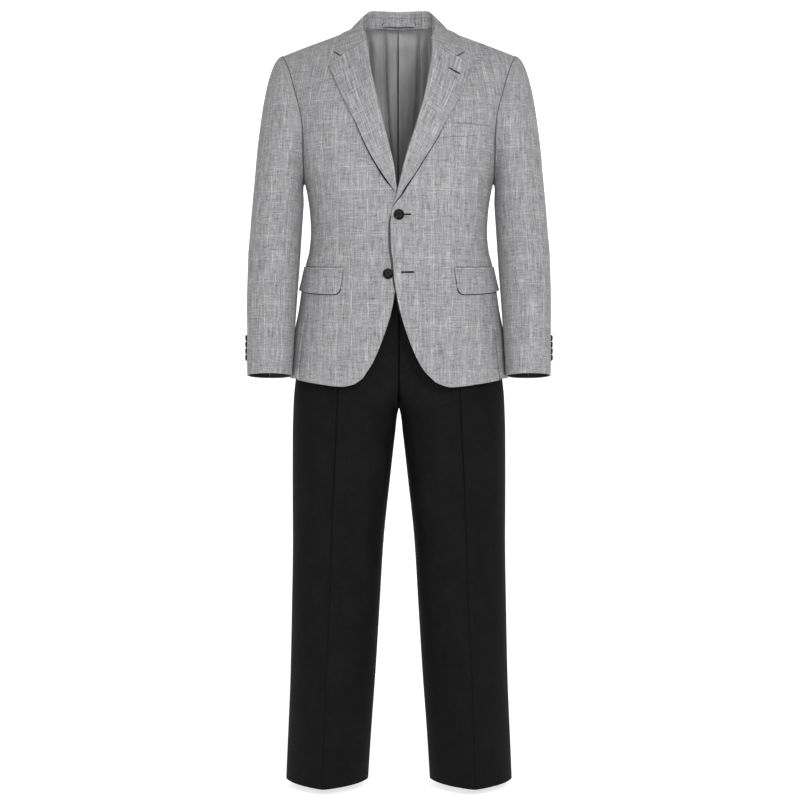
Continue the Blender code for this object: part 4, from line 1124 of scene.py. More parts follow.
def lapelSheet(side, front, lapel):
    rows, columns = fine["lapelRows"], fine["lapelColumns"]
    innerLevels = mix(collarCut["gorge"][1] - lapelCut["topRoom"], lapel.key[0] + lapelCut["tipRoom"], rows)
    outerLevels = mix(lapel.key[-1], lapel.key[0], rows)
    inner = np.stack([front["sign"] * front["edge"].at(innerLevels, "x"), innerLevels], 1)
    outer = np.stack([front["sign"] * lapel.at(outerLevels, "x"), outerLevels], 1)
    top, bottom = straight(inner[0], outer[0], columns), straight(inner[-1], outer[-1], columns)
    flat = patch(top, bottom, inner, outer)
    places = asFrontPlaces(flat[..., 0], flat[..., 1])
    grid = torso(places[..., 0], places[..., 1])
    across = np.linspace(1, 0, columns + 1)[None, :]
    down = np.linspace(0, 1, rows + 1)[:, None]
    rollOut = lapelCut["roll"] * across**2 * (0.3 + 0.7 * np.sin((0.15 + 0.85 * down) * math.pi))
    springOut = lapelCut["edgeSpring"] + lapelCut["spring"][side] * ease(down / 0.6)
    springOut = springOut * (1 - across) ** 2 * ease((1 - down) / 0.10) * ease(down / 0.04)
    if side == "left":
        grid = grid - np.array([0, 1, 0]) * overlapLift(grid[..., 0:1])
    normals = offTorso(grid)
    relief = frontRelief(np.stack([np.abs(places[..., 0]), places[..., 1]], -1), front["folds"])[0]
    grid = grid + normals * (rollOut + springOut + lapelCut["stand"] + relief)[..., None]
    normals, grain = gridNormals(grid, torsoAxis(grid)), gridGrain(grid)
    radius = lapelCut["rollRadius"] * (0.35 + 0.65 * ease((1 - down[:, 0]) / 0.2))
    lifted = grid + normals * (lapelCut["cloth"] + fabric["lay"])
    sheet = rollEdge((lifted, normals, grain), radius)
    return sheet if side == "left" else mirroredSheet(sheet)


lapelSheets = {}


def makeLapels():
    for side, lapel in (("left", leftLapel), ("right", rightLapel)):
        sheet = lapelSheet(side, fronts[side], lapel)
        lapelSheets[side] = sheet
        name, cut = "lapel" + side.capitalize(), {"flat": lapelCut["flat"][side]}
        under = ["jacket_front_" + side]
        sew(name, "lapel_" + side, cut, sheet, lapelCut["cloth"], wool, restsOn=under)


makeLapels()
print("lapels made")

# Collar
collarFoldLine = [
    (0.000, 0.0600, 0.0722), (0.030, 0.0580, 0.0722), (0.056, 0.0440, 0.0705),
    (0.0675, 0.0180, 0.0590), (0.0690, -0.0060, 0.0400), (0.0675, -0.0300, 0.0150),
    (0.0640, -0.0600, -0.0120),
]
collarEdgeLine = [
    (0.000, 0.0690, 0.0230), (0.038, 0.0660, 0.0190), (0.075, 0.0500, 0.0100), (0.103, 0.0200, 0.0100),
    (0.111, -0.0100, 0.0060), (0.117, -0.0450, -0.0120), (0.124, -0.0740, -0.0330),
]


# Points moved out, where needed, to lie at least a gap off the shoulder
def restOnShoulder(points, gap):
    x, y, z = points[..., 0], points[..., 1], points[..., 2]
    centre = shoulderHeight(x) - bodyCut["chestDrop"]
    height = np.clip(z, -0.70, 0.06)
    width, depth = bodySection(height, y < bodyCut["ridgeY"])
    share = np.clip(np.abs(x) / width, 0, 0.999)
    reach = depth * (1 - share**bodyCut["section"]) ** (1 / bodyCut["section"])
    up = np.maximum(z - centre, 0) / bodyCut["chestDrop"]
    ahead = np.abs(y - bodyCut["ridgeY"]) / reach
    size = (up**bodyCut["shoulderArch"] + ahead**bodyCut["shoulderArch"]) ** (1 / bodyCut["shoulderArch"])
    arm = np.stack([y - bodyCut["ridgeY"], np.maximum(z - centre, 1e-6)], -1)
    radius = np.linalg.norm(arm, axis=-1)
    wanted = radius / np.maximum(size, 1e-6) + gap
    scale = np.maximum(wanted / radius, 1)
    moved = points.copy()
    moved[..., 1] = bodyCut["ridgeY"] + arm[..., 0] * scale
    moved[..., 2] = centre + arm[..., 1] * scale
    return moved


# A curve through both halves, from the wearer's right gorge to the left one
def wholeCollar(half, count):
    path = smoothPath(half, count // 2)
    return np.concatenate([mirrored(path[::-1])[:-1], path])


# The fold and the neck seam that the stand runs between
def standEdges():
    dense = fine["collarColumns"] * 2
    fold = smoothPath(collarFoldLine, dense)[: int(dense * collarCut["standEnd"])]
    fold = smoothPath(fold, fine["collarColumns"] // 2)
    x = np.minimum(np.abs(fold[:, 0]) * collarCut["neckEase"], neckCut["halfWidth"])
    low = torso(backAngle(x, backNeck(x)), backNeck(x))
    ahead = fold[:, 1] < low[:, 1]
    low[ahead] = fold[ahead] + np.array([collarCut["turnOut"], 0, -collarCut["turnDown"]])
    return [np.concatenate([mirrored(half[::-1])[:-1], half]) for half in (fold, low)]


notches = []


# Starts a grid's rows a little further down, to leave room for its rolled edge
def pulledBack(grid, start):
    rows, columns = len(grid) - 1, grid.shape[1]
    along = np.linspace(0, 1, columns)
    start = start * ease(np.minimum(along, 1 - along) / collarCut["pullEase"])[None, :]
    level = rows * (start + (1 - start) * np.linspace(0, 1, rows + 1)[:, None])
    low = np.minimum(level.astype(int), rows - 1)
    share = (level - low)[..., None]
    column = np.arange(columns)[None, :]
    return grid[low, column] * (1 - share) + grid[low + 1, column] * share


# The weave runs on straight where the collar's end turns at the notch
def unbentGrain(grid):
    grain = gridGrain(grid)
    along = unit(np.gradient(grid[0], axis=0))
    steps = np.diff(grid, axis=0)
    sideways = np.sum(steps * along, axis=2)
    away = np.linalg.norm(steps - sideways[..., None] * along, axis=2)
    grain[1:, :, 0] += np.cumsum(sideways, axis=0)
    grain[1:, :, 1] = np.cumsum(away, axis=0)
    return grain


def collarFallSheet():
    fold = wholeCollar(collarFoldLine, fine["collarColumns"])
    edge = wholeCollar(collarEdgeLine, fine["collarColumns"])
    gorge, notch = collarCut["gorge"], collarCut["notch"]
    tip = np.array([collarEdgeLine[-1][0], collarEdgeLine[-1][2]])
    lengths = np.linalg.norm([notch - gorge, tip - notch], axis=1)
    notchRow = max(1, round(lengths[0] / lengths.sum() * fine["collarRows"]))
    beyond = straight(notch, tip, fine["collarRows"] - notchRow)[1:]
    end = np.concatenate([straight(gorge, notch, notchRow), beyond])
    end[:, 1] += collarCut["notchGap"]
    places = asFrontPlaces(end[:, 0], end[:, 1])
    leftEnd = torso(places[:, 0], places[:, 1])
    notches.append(leftEnd[notchRow:])
    grid = pulledBack(patch(fold, edge, mirrored(leftEnd), leftEnd), collarCut["pullBack"])
    down = np.linspace(0, 1, fine["collarRows"] + 1)[:, None, None]
    out = grid - np.array([0, bodyCut["ridgeY"], 0])
    out[..., 2] = 0.5 * np.linalg.norm(out[..., :2], axis=-1)
    along = np.linspace(0, 1, grid.shape[1])
    flatEnd = ease(np.minimum(along, 1 - along) / collarCut["endEase"])[None, :, None]
    side = np.exp(-(((grid[..., 1:2] - bodyCut["ridgeY"]) / collarCut["sideReach"]) ** 2))
    belly = collarCut["belly"] + collarCut["sideBelly"] * side
    grid = grid + unit(out) * belly * (down * (1 - down) * 4) * flatEnd
    grid = restOnShoulder(grid, collarCut["clear"] + collarCut["cloth"])
    grid = grid - offTorso(grid) * collarCut["edgeLay"] * down**6
    return grid, offTorso(grid), unbentGrain(grid)


# Swaps rows and columns, so that a sheet can be rolled at its first row
def turned(sheet):
    grid, normals, grain = sheet
    return grid.transpose(1, 0, 2), normals.transpose(1, 0, 2), grain.transpose(1, 0, 2)[..., ::-1]


def makeCollar():
    fall = turned(rollEdge(turned(collarFallSheet()), collarCut["rollRadius"]))
    under = ["jacket_back_left"]
    sew("collarFall", "collar_fall", collarCut, fall, collarCut["cloth"], wool, restsOn=under)
    fold, low = standEdges()
    aside = np.abs(fold[:, :1])
    shorter = collarCut["standShorter"] * ease((aside - 0.045) / 0.02)
    deeper = collarCut["standDeeper"] * (1 - ease(aside / 0.075))
    share = mix(collarCut["standFrom"], collarCut["standTo"], collarCut["standRows"])
    share = share[:, None, None] * (1 - shorter + deeper)
    grid = fold[None] * (1 - share) + low[None] * share
    normals = -gridNormals(grid, np.array([0, bodyCut["ridgeY"], 0.03]))
    behind = collarCut["cloth"] + fabric["lay"] + fabric["cloth"]
    sheet = grid + normals * behind, normals, gridGrain(grid)
    sew("collarStand", "collar_stand", {"flat": collarCut["standFlat"]}, sheet, fabric["cloth"], wool)
    return sheet


standSheet = makeCollar()
print("collar made")


# What lies on a piece of cloth is settled on the piece's real surface
def surfaceOf(*pieces):
    points, faces = [], []
    for piece in pieces:
        start = len(points)
        points += [vertex.co for vertex in piece.data.vertices]
        faces += [[start + corner for corner in face.vertices] for face in piece.data.polygons]
    return BVHTree.FromPolygons(points, faces)


def settle(surface, points, outward, lift):
    outward = unit(outward)
    settled = points + outward * lift
    for place in np.ndindex(points.shape[:-1]):
        way = Vector(outward[place])
        hit = surface.ray_cast(Vector(points[place]) + way * 0.03, -way, 0.06)[0]
        if hit is not None:
            settled[place] = np.array(hit) + outward[place] * (lift if np.isscalar(lift) else lift[place])
    return settled


# Cords of each colour: real stitches and threads, and dark cords that paint shade
sewingAndShade = {name: [] for name in threadAndShadeMaterials}
# Stitch length, gap and half width
stitchCut = {
    "stand": (0.0026, 0.0007, 0.00028),
    "standEnd": (0.0022, 0.0004, 0.00030),
    "fly": (0.0024, 0.0006, 0.00028),
}


# A round cord along a path, as sewing thread or as painted shade. Ribs show each turn of the thread that
# binds a buttonhole.
def addCord(colour, path, outward, radius, ribs=0, flat=1.0, taper=True):
    path, sides = np.asarray(path), 8
    ahead = unit(np.gradient(path, axis=0))
    beside = unit(np.cross(ahead, outward))
    above = np.cross(beside, ahead)
    share = np.linspace(0, 1, len(path))
    size = radius * (1 + 0.16 * np.cos(share * ribs * 2 * math.pi) if ribs else np.ones(len(path)))
    if taper:
        size = size * np.sqrt(np.clip(np.minimum(share, 1 - share) / 0.12, 0.05, 1))
    angles = np.arange(sides) * 2 * math.pi / sides
    ring = beside[:, None] * np.cos(angles)[:, None] + above[:, None] * np.sin(angles)[:, None] * flat
    points = (path[:, None] + ring * size[:, None, None]).reshape(-1, 3)
    index = np.arange(len(points)).reshape(len(path), sides)
    after = np.roll(index, -1, 1)
    faces = np.stack([index[:-1], after[:-1], after[1:], index[1:]], -1).reshape(-1, 4).tolist()
    faces += [index[0][::-1].tolist(), index[-1].tolist()]
    sewingAndShade[colour].append((points, faces))


# Even points along a path
def evenly(path, spacing):
    path = np.asarray(path)
    length = runAlong(path)[-1]
    return atRuns(path, np.linspace(0, length, max(2, int(length / spacing) + 1)))


# The same way out all along a path
def allAlong(path, x, y, z):
    return np.broadcast_to(np.array([x, y, z], float), path.shape)


def addStitches(colour, path, outward, stitch, gap, radius):
    steps = 6  # points from one stitch to the next
    both = evenly(np.concatenate([path, outward], 1), (stitch + gap) / steps)
    for start in range(0, len(both) - steps, steps):
        piece = both[start : start + max(3, round(steps * stitch / (stitch + gap)) + 1)]
        addCord(colour, piece[:, :3], piece[:, 3:], radius, flat=0.7)


# A bound buttonhole: beads on both sides of a slit, and round an eye when it has one
def addButtonhole(surface, start, end, outward, width, eye=0.0):
    along = unit(end - start)
    beside = unit(np.cross(along, outward))
    middle = straight(start, end, 59)
    half = width / 2
    turn = np.linspace(math.pi / 2, -math.pi / 2, 16)[:, None]
    tip = end + along * half * np.cos(turn) + beside * half * np.sin(turn)
    path = [middle + beside * half, tip, middle[::-1] - beside * half]
    if eye:
        turn = np.linspace(-2.3, 2.3, 40)[:, None]
        path.append(start - eye * (along * np.cos(turn) + beside * np.sin(turn)))
    path = evenly(np.concatenate(path), 0.0002)
    ways = allAlong(path, *outward)
    addCord("charcoal", settle(surface, path, ways, width * 0.30), ways, width * 0.52, len(path) // 3, 0.8)
    # The black cord down the slit is painted shade in the opening
    ways = allAlong(middle, *outward)
    addCord("black", settle(surface, middle, ways, width * 0.10), ways, width * 0.35, flat=0.5)


# The ways out of the body along a path
def waysOut(path):
    return offTorso(np.stack([path + np.array([0, 0, 0.005]), path]))[1]


# Shade in a seam, or under the edge of what lies on the cloth
def addShade(surface, path, outward, radius, colour="shade", both=False):
    if surface:
        path = settle(surface, path, outward, 0.0)
    addCord(colour, path, outward, radius, flat=0.5)
    if both:
        addCord(colour, mirrored(path), mirrored(outward), radius, flat=0.5)


# Joins the cords of each colour into one piece, sewing thread and painted shade alike
def makeSewingAndShade():
    for colour, cords in sewingAndShade.items():
        points, faces, start = [], [], 0
        for cordPoints, cordFaces in cords:
            points.append(cordPoints)
            faces += [[start + corner for corner in face] for face in cordFaces]
            start += len(cordPoints)
        mesh = bpy.data.meshes.new(colour + "SewingAndShade")
        mesh.from_pydata(np.concatenate(points).tolist(), [], faces)
        mesh.materials.append(threadAndShadeMaterials[colour])
        mesh.shade_smooth()
        piece = place(colour + "SewingAndShade", mesh)
        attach(piece, "root")


# Pockets
flapCut = {
    "flat": (0.136, 0.048, 0.0063),
    "inner": 0.1050,
    "outer": math.radians(86),
    "width": 0.105,
    "top": -0.4545,
    "rise": 0.0090,
    "lowRise": 0.0050,
    "fall": 0.046,
    "lean": 0.012,
    "corner": 0.009,
    "lift": 0.0016,
    "curl": 0.0014,
    "edgeShade": 0.0014,
    "columns": 70,
    "rows": 34,
}
jetCut = {
    "flat": (0.132, 0.010, 0.0008),
    "height": 0.0045,
    "cloth": 0.0013,
    "puff": 0.0004,
    "shadeAbove": 0.0008,
    "shadeBelow": 0.0006,
}
weltCut = {
    "flat": (0.097, 0.026, 0.0024),
    "lowInner": (0.0743, -0.2073),
    "lowOuter": (0.1620, -0.1965),
    "highInner": (0.0868, -0.1800),
    "highOuter": (0.1705, -0.1783),
    "puff": 0.0005,
    "columns": 50,
    "rows": 18,
}


# The flap's places on the front and side panel: angles and heights
def flapPlaces():
    angles = mix(frontAngle(flapCut["inner"], flapCut["top"]), flapCut["outer"], flapCut["columns"])
    run = np.linspace(0, 1, flapCut["columns"] + 1)
    down = np.linspace(0, 1, flapCut["rows"] + 1)[:, None]
    top = flapCut["top"] + flapCut["rise"] * run**1.5
    inside = np.clip(1 - run * flapCut["width"] / flapCut["corner"], 0, 1)
    rounding = flapCut["corner"] * (1 - np.sqrt(1 - inside**2))
    bottom = top - flapCut["fall"] + flapCut["lowRise"] * run**1.5 + rounding
    heights = top[None] * (1 - down) + bottom[None] * down
    places = np.stack([angles[None] + flapCut["lean"] * down * (1 - run)[None], heights], -1)
    return places, flapCut["lift"] * down + flapCut["curl"] * down**2 * run**5


def makeFlapsAndJets():
    surface = surfaceOf(pieces["frontLeft"], pieces["sideLeft"])
    places, lift = flapPlaces()
    flat = torso(places[..., 0], places[..., 1])
    outward = offTorso(flat)
    base = settle(surface, flat, outward, fabric["lay"])
    flap = smoothRows(base + outward * lift[..., None])
    # Painted shade along the flap's front and lower edges, and over and under the jet
    aside, drop = np.array([-0.0005, 0, 0]), np.array([0, 0, 0.0008])
    line = evenly(np.concatenate([flap[:, 0] + aside, flap[-1, 1:] - drop]), 0.002)
    addShade(surface, line, waysOut(line), flapCut["edgeShade"], "charcoal", both=True)
    line = evenly(base[0] + np.array([0, 0, jetCut["height"] + 0.0010]), 0.003)
    addShade(surface, line, waysOut(line), jetCut["shadeAbove"], both=True)
    line = evenly(base[0] + np.array([0, 0, 0.0002]), 0.003)
    addShade(surface, line, waysOut(line), jetCut["shadeBelow"], both=True)
    sheet = flap, gridNormals(flap, torsoAxis(flap)), torsoGrain(places)
    thick = fabric["cloth"]
    sewPair("flap", "pocket_flap", flapCut, sheet, thick, wool, lift=thick, restsOn=["jacket_front"])
    level = np.linspace(1, 0, 9)[:, None, None]
    jet = smoothRows(base[:1] + np.array([0, 0, 1]) * (jetCut["height"] * level + fabric["lay"]))
    outward = offTorso(jet)
    puff = jetCut["puff"] * np.sin(level * math.pi) ** 0.5
    sheet = jet + outward * puff, outward, gridGrain(jet)
    thick = jetCut["cloth"]
    sewPair("jet", "pocket_jet", jetCut, sheet, thick, wool, lift=thick, restsOn=["jacket_front"])


def makeWelt():
    low = straight(*np.array([weltCut["lowInner"], weltCut["lowOuter"]]), weltCut["columns"])
    high = straight(*np.array([weltCut["highInner"], weltCut["highOuter"]]), weltCut["columns"])
    share = np.linspace(0, 1, weltCut["rows"] + 1)[:, None, None]
    flat = high[None] * (1 - share) + low[None] * share
    grid = onFront(flat[..., 0], flat[..., 1])
    outward = offTorso(grid)
    grid = settle(surfaceOf(pieces["frontLeft"]), grid, outward, fabric["lay"])
    grid = smoothRows(grid + outward * weltCut["puff"] * (1 - share) ** 2)
    grain = torsoGrain(asFrontPlaces(flat[..., 0], flat[..., 1]))
    sheet, thick, under = (grid, outward, grain), fabric["cloth"], ["jacket_front_left"]
    sew("breastWelt", "breast_welt", weltCut, sheet, thick, wool, lift=thick, restsOn=under)


# Softens the steps that a ray cast leaves in a grid
def smoothRows(grid, rounds=3):
    grid = grid.copy()
    for _ in range(rounds):
        if grid.shape[0] > 2:
            grid[1:-1] = (grid[:-2] + 2 * grid[1:-1] + grid[2:]) / 4
        grid[:, 1:-1] = (grid[:, :-2] + 2 * grid[:, 1:-1] + grid[:, 2:]) / 4
    return grid


# Half widths of the shade under the lapels, in the notches, seams and beside the left edge
shadeCut = {
    "lapel": (0.0007, 0.0012),
    "notch": 0.0010,
    "notchPast": (0.0024, 0.0034),
    "frontLine": 0.0013,
    "frontShade": (0.0006, 0.0020),
    "frontFrom": -0.345,
    "frontTo": -0.56,
    "frontShadeTo": -0.500,
    "armhole": (0.0007, 0.0016),
    "armholeDeep": -0.155,
    "armholeBehind": 0.0006,
    "backSeam": 0.0007,
}


def shadeLapels():
    for side, flip in (("left", np.ones(3)), ("right", np.array([-1.0, 1, 1]))):
        front = pieces["front" + side.capitalize()]
        grid, normals, _ = lapelSheets[side]
        edge = grid[4:, -1] + (grid[4:, -1] - grid[4:, -2]) * 0.12
        least, more = shadeCut["lapel"]
        size = least + more * ease(np.linspace(0, 1, len(edge)) * 1.2 - 0.2)
        addShade(surfaceOf(front), edge, normals[4:, -1], size, "charcoal")
        inner, outer = notches[0][0] * flip, notches[0][-1] * flip
        run, (before, after) = unit(outer - inner), shadeCut["notchPast"]
        slit = straight(inner - run * before, outer + run * after, 40)
        slit = slit - np.array([0, 0, 0.0010 if side == "right" else 0.0022])
        surface = surfaceOf(front, pieces["lapel" + side.capitalize()])
        addShade(surface, slit, allAlong(slit, 0, -0.8, 0.6), shadeCut["notch"], "charcoal")


def shadeLeftFront():
    surface = surfaceOf(pieces["frontRight"])
    edge = fronts["left"]["line"]
    seen = (edge[:, 2] < shadeCut["frontFrom"]) & (edge[:, 2] > shadeCut["frontTo"])
    line = edge[seen] + np.array([-0.0010, 0, 0])
    addShade(surface, line, allAlong(line, 0, -1, 0), shadeCut["frontLine"], "charcoal")
    line = line[line[:, 2] > shadeCut["frontShadeTo"]] - np.array([0.0018, 0, 0])
    least, more = shadeCut["frontShade"]
    size = least + more * np.sin(np.linspace(0, math.pi, len(line)))
    addShade(surface, line, allAlong(line, 0, -1, 0), size)


def shadeArmholes():
    ring, normals = armholeSeam
    ring = ring + normals * 0.0003
    half = len(ring) // 2 + 1
    least, more = shadeCut["armhole"]
    size = least + more * ease((shadeCut["armholeDeep"] - armholeSeam[0][:half, 2]) / 0.06)
    addShade(None, ring[:half], normals[:half], size, both=True)
    addShade(None, ring[half:], normals[half:], shadeCut["armholeBehind"], both=True)


def shadeBackSeam():
    heights = np.linspace(0.010, bodyCut["hem"] + 0.002, 180)
    beside = fabric["seam"] * 2
    seam = torso(backAngle(beside, heights), heights)
    seam[:, 0] = beside
    addShade(surfaceOf(pieces["backLeft"]), seam, waysOut(seam), shadeCut["backSeam"])


makeFlapsAndJets()
makeWelt()
shadeLapels()
shadeLeftFront()
shadeArmholes()
shadeBackSeam()
print("pockets made")

# Buttons and buttonholes
# Radius and thickness in metres, the rest as shares of the radius
frontButtonShape = {"radius": 0.0101, "thickness": 0.0036, "holeAt": 0.215, "hole": 0.085}
cuffButtonShape = {"radius": 0.0061, "thickness": 0.0036, "holeAt": 0.24, "hole": 0.10}
# Piece that each front button lies on, and its place
frontButtons = {"top": ("frontLeft", 0.0, -0.3515), "low": ("frontRight", -0.0205, -0.4632)}
# The button's face and its rounded back: share of the radius and of the thickness
buttonFace = [
    (0, 0.60), (0.50, 0.60), (0.56, 0.625), (0.62, 0.72), (0.70, 0.87), (0.78, 0.965),
    (0.86, 1.0), (0.92, 0.985), (0.965, 0.90), (0.99, 0.78), (1.0, 0.62),
]
buttonBack = [(1.0, 0.45), (0.99, 0.28), (0.965, 0.13), (0.92, 0.03), (0.86, 0.0), (0.5, 0.0), (0.02, 0.0)]
# Piece, start, end, width and eye of each buttonhole
buttonholes = [
    ("frontLeft", (0.004, -0.3515), (0.0215, -0.3509), 0.0015, 0),
    ("frontLeft", (0.0066, -0.4604), (0.0275, -0.4598), 0.0016, 0.0018),
    ("lapelLeft", (0.0931, -0.0725), (0.1134, -0.0832), 0.0015, 0),
]
cuffButtons = {"first": -0.5800, "pitch": 0.0127, "angle": math.radians(-5)}


def makeButton(name, node, centre, normal, shape):
    sides = fine["buttonSides"]
    shares = np.concatenate([np.linspace(0.012, 0.5, 36), np.linspace(0.5, 1, 30)[1:]])
    profile = [(share, np.interp(share, *zip(*buttonFace))) for share in shares] + buttonBack
    up = unit(np.array([0, 0, 1.0]) - normal * normal[2])
    across = np.cross(up, normal)
    angles = np.arange(sides) * 2 * math.pi / sides
    corners = np.radians([45, 135, 225, 315])
    holes = shape["holeAt"] * np.stack([np.cos(corners), np.sin(corners)], 1)
    points = []
    for number, (share, height) in enumerate(profile):
        x, z = share * np.cos(angles), share * np.sin(angles)
        level = np.full(sides, height)
        if number < len(shares):
            for holeX, holeZ in holes:
                level -= 0.45 * ease(1.6 - np.hypot(x - holeX, z - holeZ) / shape["hole"])
        ring = across * x[:, None] + up * z[:, None]
        points.append(centre + ring * shape["radius"] + normal * (level * shape["thickness"])[:, None])
    index = np.arange(len(profile) * sides).reshape(-1, sides)
    after = np.roll(index, -1, 1)
    faces = np.stack([index[:-1], index[1:], after[1:], after[:-1]], -1).reshape(-1, 4).tolist()
    faces += [index[0].tolist(), index[-1][::-1].tolist()]
    if np.dot(np.cross(across, up), normal) < 0:
        faces = [face[::-1] for face in faces]
    mesh = bpy.data.meshes.new(name)
    mesh.from_pydata(np.concatenate(points).tolist(), [], faces)
    mesh.materials.append(horn)
    mesh.shade_smooth()
    piece = place(name, mesh)
    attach(piece, "root")
    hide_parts(node)
    for pair in (holes[:2], holes[2:]):
        ends = centre + (across * pair[:, :1] + up * pair[:, 1:]) * shape["radius"]
        bow = 0.52 + 0.17 * np.sin(np.linspace(0, math.pi, 14))[:, None]
        path = straight(*ends, 13) + normal * shape["thickness"] * bow
        addCord("charcoal", path, allAlong(path, *normal), shape["radius"] * 0.055, taper=False)


# A point of the front and the way out of it
def frontSpot(x, height):
    spot = onFront(np.array([x, x - 0.01, x + 0.01, x, x]), height + np.array([0, 0, 0, 0.01, -0.01]))
    way = np.cross(spot[3] - spot[4], spot[2] - spot[1])
    return spot[0], -way * np.sign(way[1]) / np.linalg.norm(way)


def makeButtons():
    for name, (under, x, height) in frontButtons.items():
        centre, normal = frontSpot(x, height)
        surface = surfaceOf(pieces[under])
        centre = settle(surface, centre[None], normal[None], fabric["lay"])[0]
        makeButton("button" + name.capitalize(), "front_button_" + name, centre, normal, frontButtonShape)
    sleeve = surfaceOf(pieces["topSleeveLeft"], pieces["underSleeveLeft"])
    angle = np.array([cuffButtons["angle"]])
    for number in range(4):
        height = cuffButtons["first"] - number * cuffButtons["pitch"]
        centre = armRing(height, angle)[0]
        along = armRing(height - 0.01, angle)[0] - armRing(height + 0.01, angle)[0]
        around = armRing(height, angle + 0.01)[0] - armRing(height, angle - 0.01)[0]
        normal = unit(np.cross(along, around))
        normal *= np.sign(normal[0])
        centre = settle(sleeve, centre[None], normal[None], fabric["lay"])[0]
        for side, flip in (("left", np.ones(3)), ("right", np.array([-1, 1, 1]))):
            name, node = f"cuffButton{side.capitalize()}{number + 1}", f"cuff_button_{side}_{number + 1}"
            makeButton(name, node, centre * flip, normal * flip, cuffButtonShape)


def makeButtonholes():
    for under, start, end, width, eye in buttonholes:
        (first, way), (last, _) = frontSpot(*start), frontSpot(*end)
        addButtonhole(surfaceOf(pieces[under]), first, last, way, width, eye)


makeButtons()
makeButtonholes()
print("buttons made")

# Lining
liningCut = {
    "flat": (0.396, 0.631, 0.246),
    "cloth": 0.0010,
    "seat": 0.0030,
    "sideSeat": 0.0028,
    "inside": 0.0075,
    "hem": -0.590,
    "width": 0.165,
    "rows": 110,
    "columns": 190,
    "pleat": 0.0055,
    "pleatAt": -0.0010,
    "pleatShade": 0.0019,
    "pleatDeep": 0.0026,
    "pleatSeen": (-0.40, 0.036),
    "foldLength": 0.30,
    "bend": 0.0035,
    "above": 0.003,  # over the neck's edge in the middle
    "sideLower": 0.009,
    "sideFrom": 0.066,
    "seatFrom": 0.030,
    "spread": 0.06,
    "loose": 0.0060,
}
# Soft folds: distance from the middle at the top and at the bottom, width and depth
liningFolds = [
    (-0.060, -0.050, 0.0050, -0.0100), (-0.047, -0.036, 0.0070, 0.0040),
    (-0.028, -0.017, 0.0034, -0.0120), (-0.017, -0.009, 0.0055, 0.0030),
    (0.016, 0.012, 0.0090, 0.0030), (0.039, 0.028, 0.0034, -0.0120), (0.047, 0.038, 0.0060, 0.0030),
    (0.060, 0.054, 0.0070, -0.0090),
]


def makeLining():
    rows, columns = liningCut["rows"], liningCut["columns"]
    x = mix(-liningCut["width"], liningCut["width"], columns)
    lower = liningCut["sideLower"] * ease((np.abs(x) - liningCut["sideFrom"]) / 0.02) - liningCut["above"]
    top = np.minimum(backNeck(x), shoulderHeight(x)) - lower
    share = mix(0, 1, rows, 1.4)[:, None]
    heights = top[None] * (1 - share) + liningCut["hem"] * share
    spread = x[None] * (1 + liningCut["spread"] * share)
    grid = torso(backAngle(spread, heights), heights)
    grid[..., 0] = spread
    outward = offTorso(grid)
    seat = liningCut["seat"] + liningCut["sideSeat"] * ease((np.abs(x) - liningCut["seatFrom"]) / 0.025)[None]
    depth = seat + (liningCut["inside"] - seat) * ease(share * 4)
    start = ease((top[None] - heights - 0.004) / 0.030)
    run = np.clip((top[None] - heights) / liningCut["foldLength"], 0, 1)
    folds = np.zeros_like(grid[..., 0])
    for atTop, atBottom, width, size in liningFolds:
        bend = np.sign(atTop) * liningCut["bend"] * np.sin(run * math.pi * 1.5)
        where = atTop + (atBottom - atTop) * run + bend
        folds += size * np.exp(-(((spread - where) / width) ** 2))
    edge = liningCut["pleatAt"]
    pleat = liningCut["pleat"] * ease((edge + 0.015 - spread) / 0.014) * (1 - ease((edge - spread) / 0.0016))
    depth = depth + (liningCut["loose"] + folds + pleat) * start
    grid = grid - outward * depth[..., None]
    normals = offTorso(grid)
    column = int(np.argmin(np.abs(x - edge)))
    foot, head = liningCut["pleatSeen"]
    shown = (heights[:, 0] < head) & (heights[:, 0] > foot)
    line = evenly(grid[shown, column] - outward[shown, column] * liningCut["pleatDeep"], 0.004)
    addShade(None, line, -waysOut(line), liningCut["pleatShade"], "charcoal")
    sheet = grid, normals, gridGrain(grid)
    sew("backLining", "back_lining", liningCut, sheet, liningCut["cloth"], satin, slot="lining")


makeLining()
print("lining made")

# Collar's inside
loopCut = {
    "flat": (0.066, 0.011, 0.0007),
    "columns": 60,
    "rows": 8,
    "width": 0.064,
    "height": 0.0092,
    "cloth": 0.0012,
    "standOff": 0.0020,
    "low": 0.83,
    "corner": 0.0030,
    "edgeShade": 0.0010,
    "lowEdgeShade": 0.0008,
}


# A path over the inside of the stand, by distance from the middle and share of its height
def overStand(x, share, lift):
    stand = np.concatenate(standSheet[:2], -1)
    found = []
    for where, level in zip(x, share):
        row = np.clip(level, 0, 1) * (len(stand) - 1)
        low = min(int(row), len(stand) - 2)
        line = stand[low] + (stand[low + 1] - stand[low]) * (row - low)
        line = line[np.argsort(line[:, 0])]
        found.append([np.interp(where, line[:, 0], line[:, axis]) for axis in range(6)])
    found = np.array(found)
    ways = unit(found[:, 3:])
    return found[:, :3] + ways * lift, ways


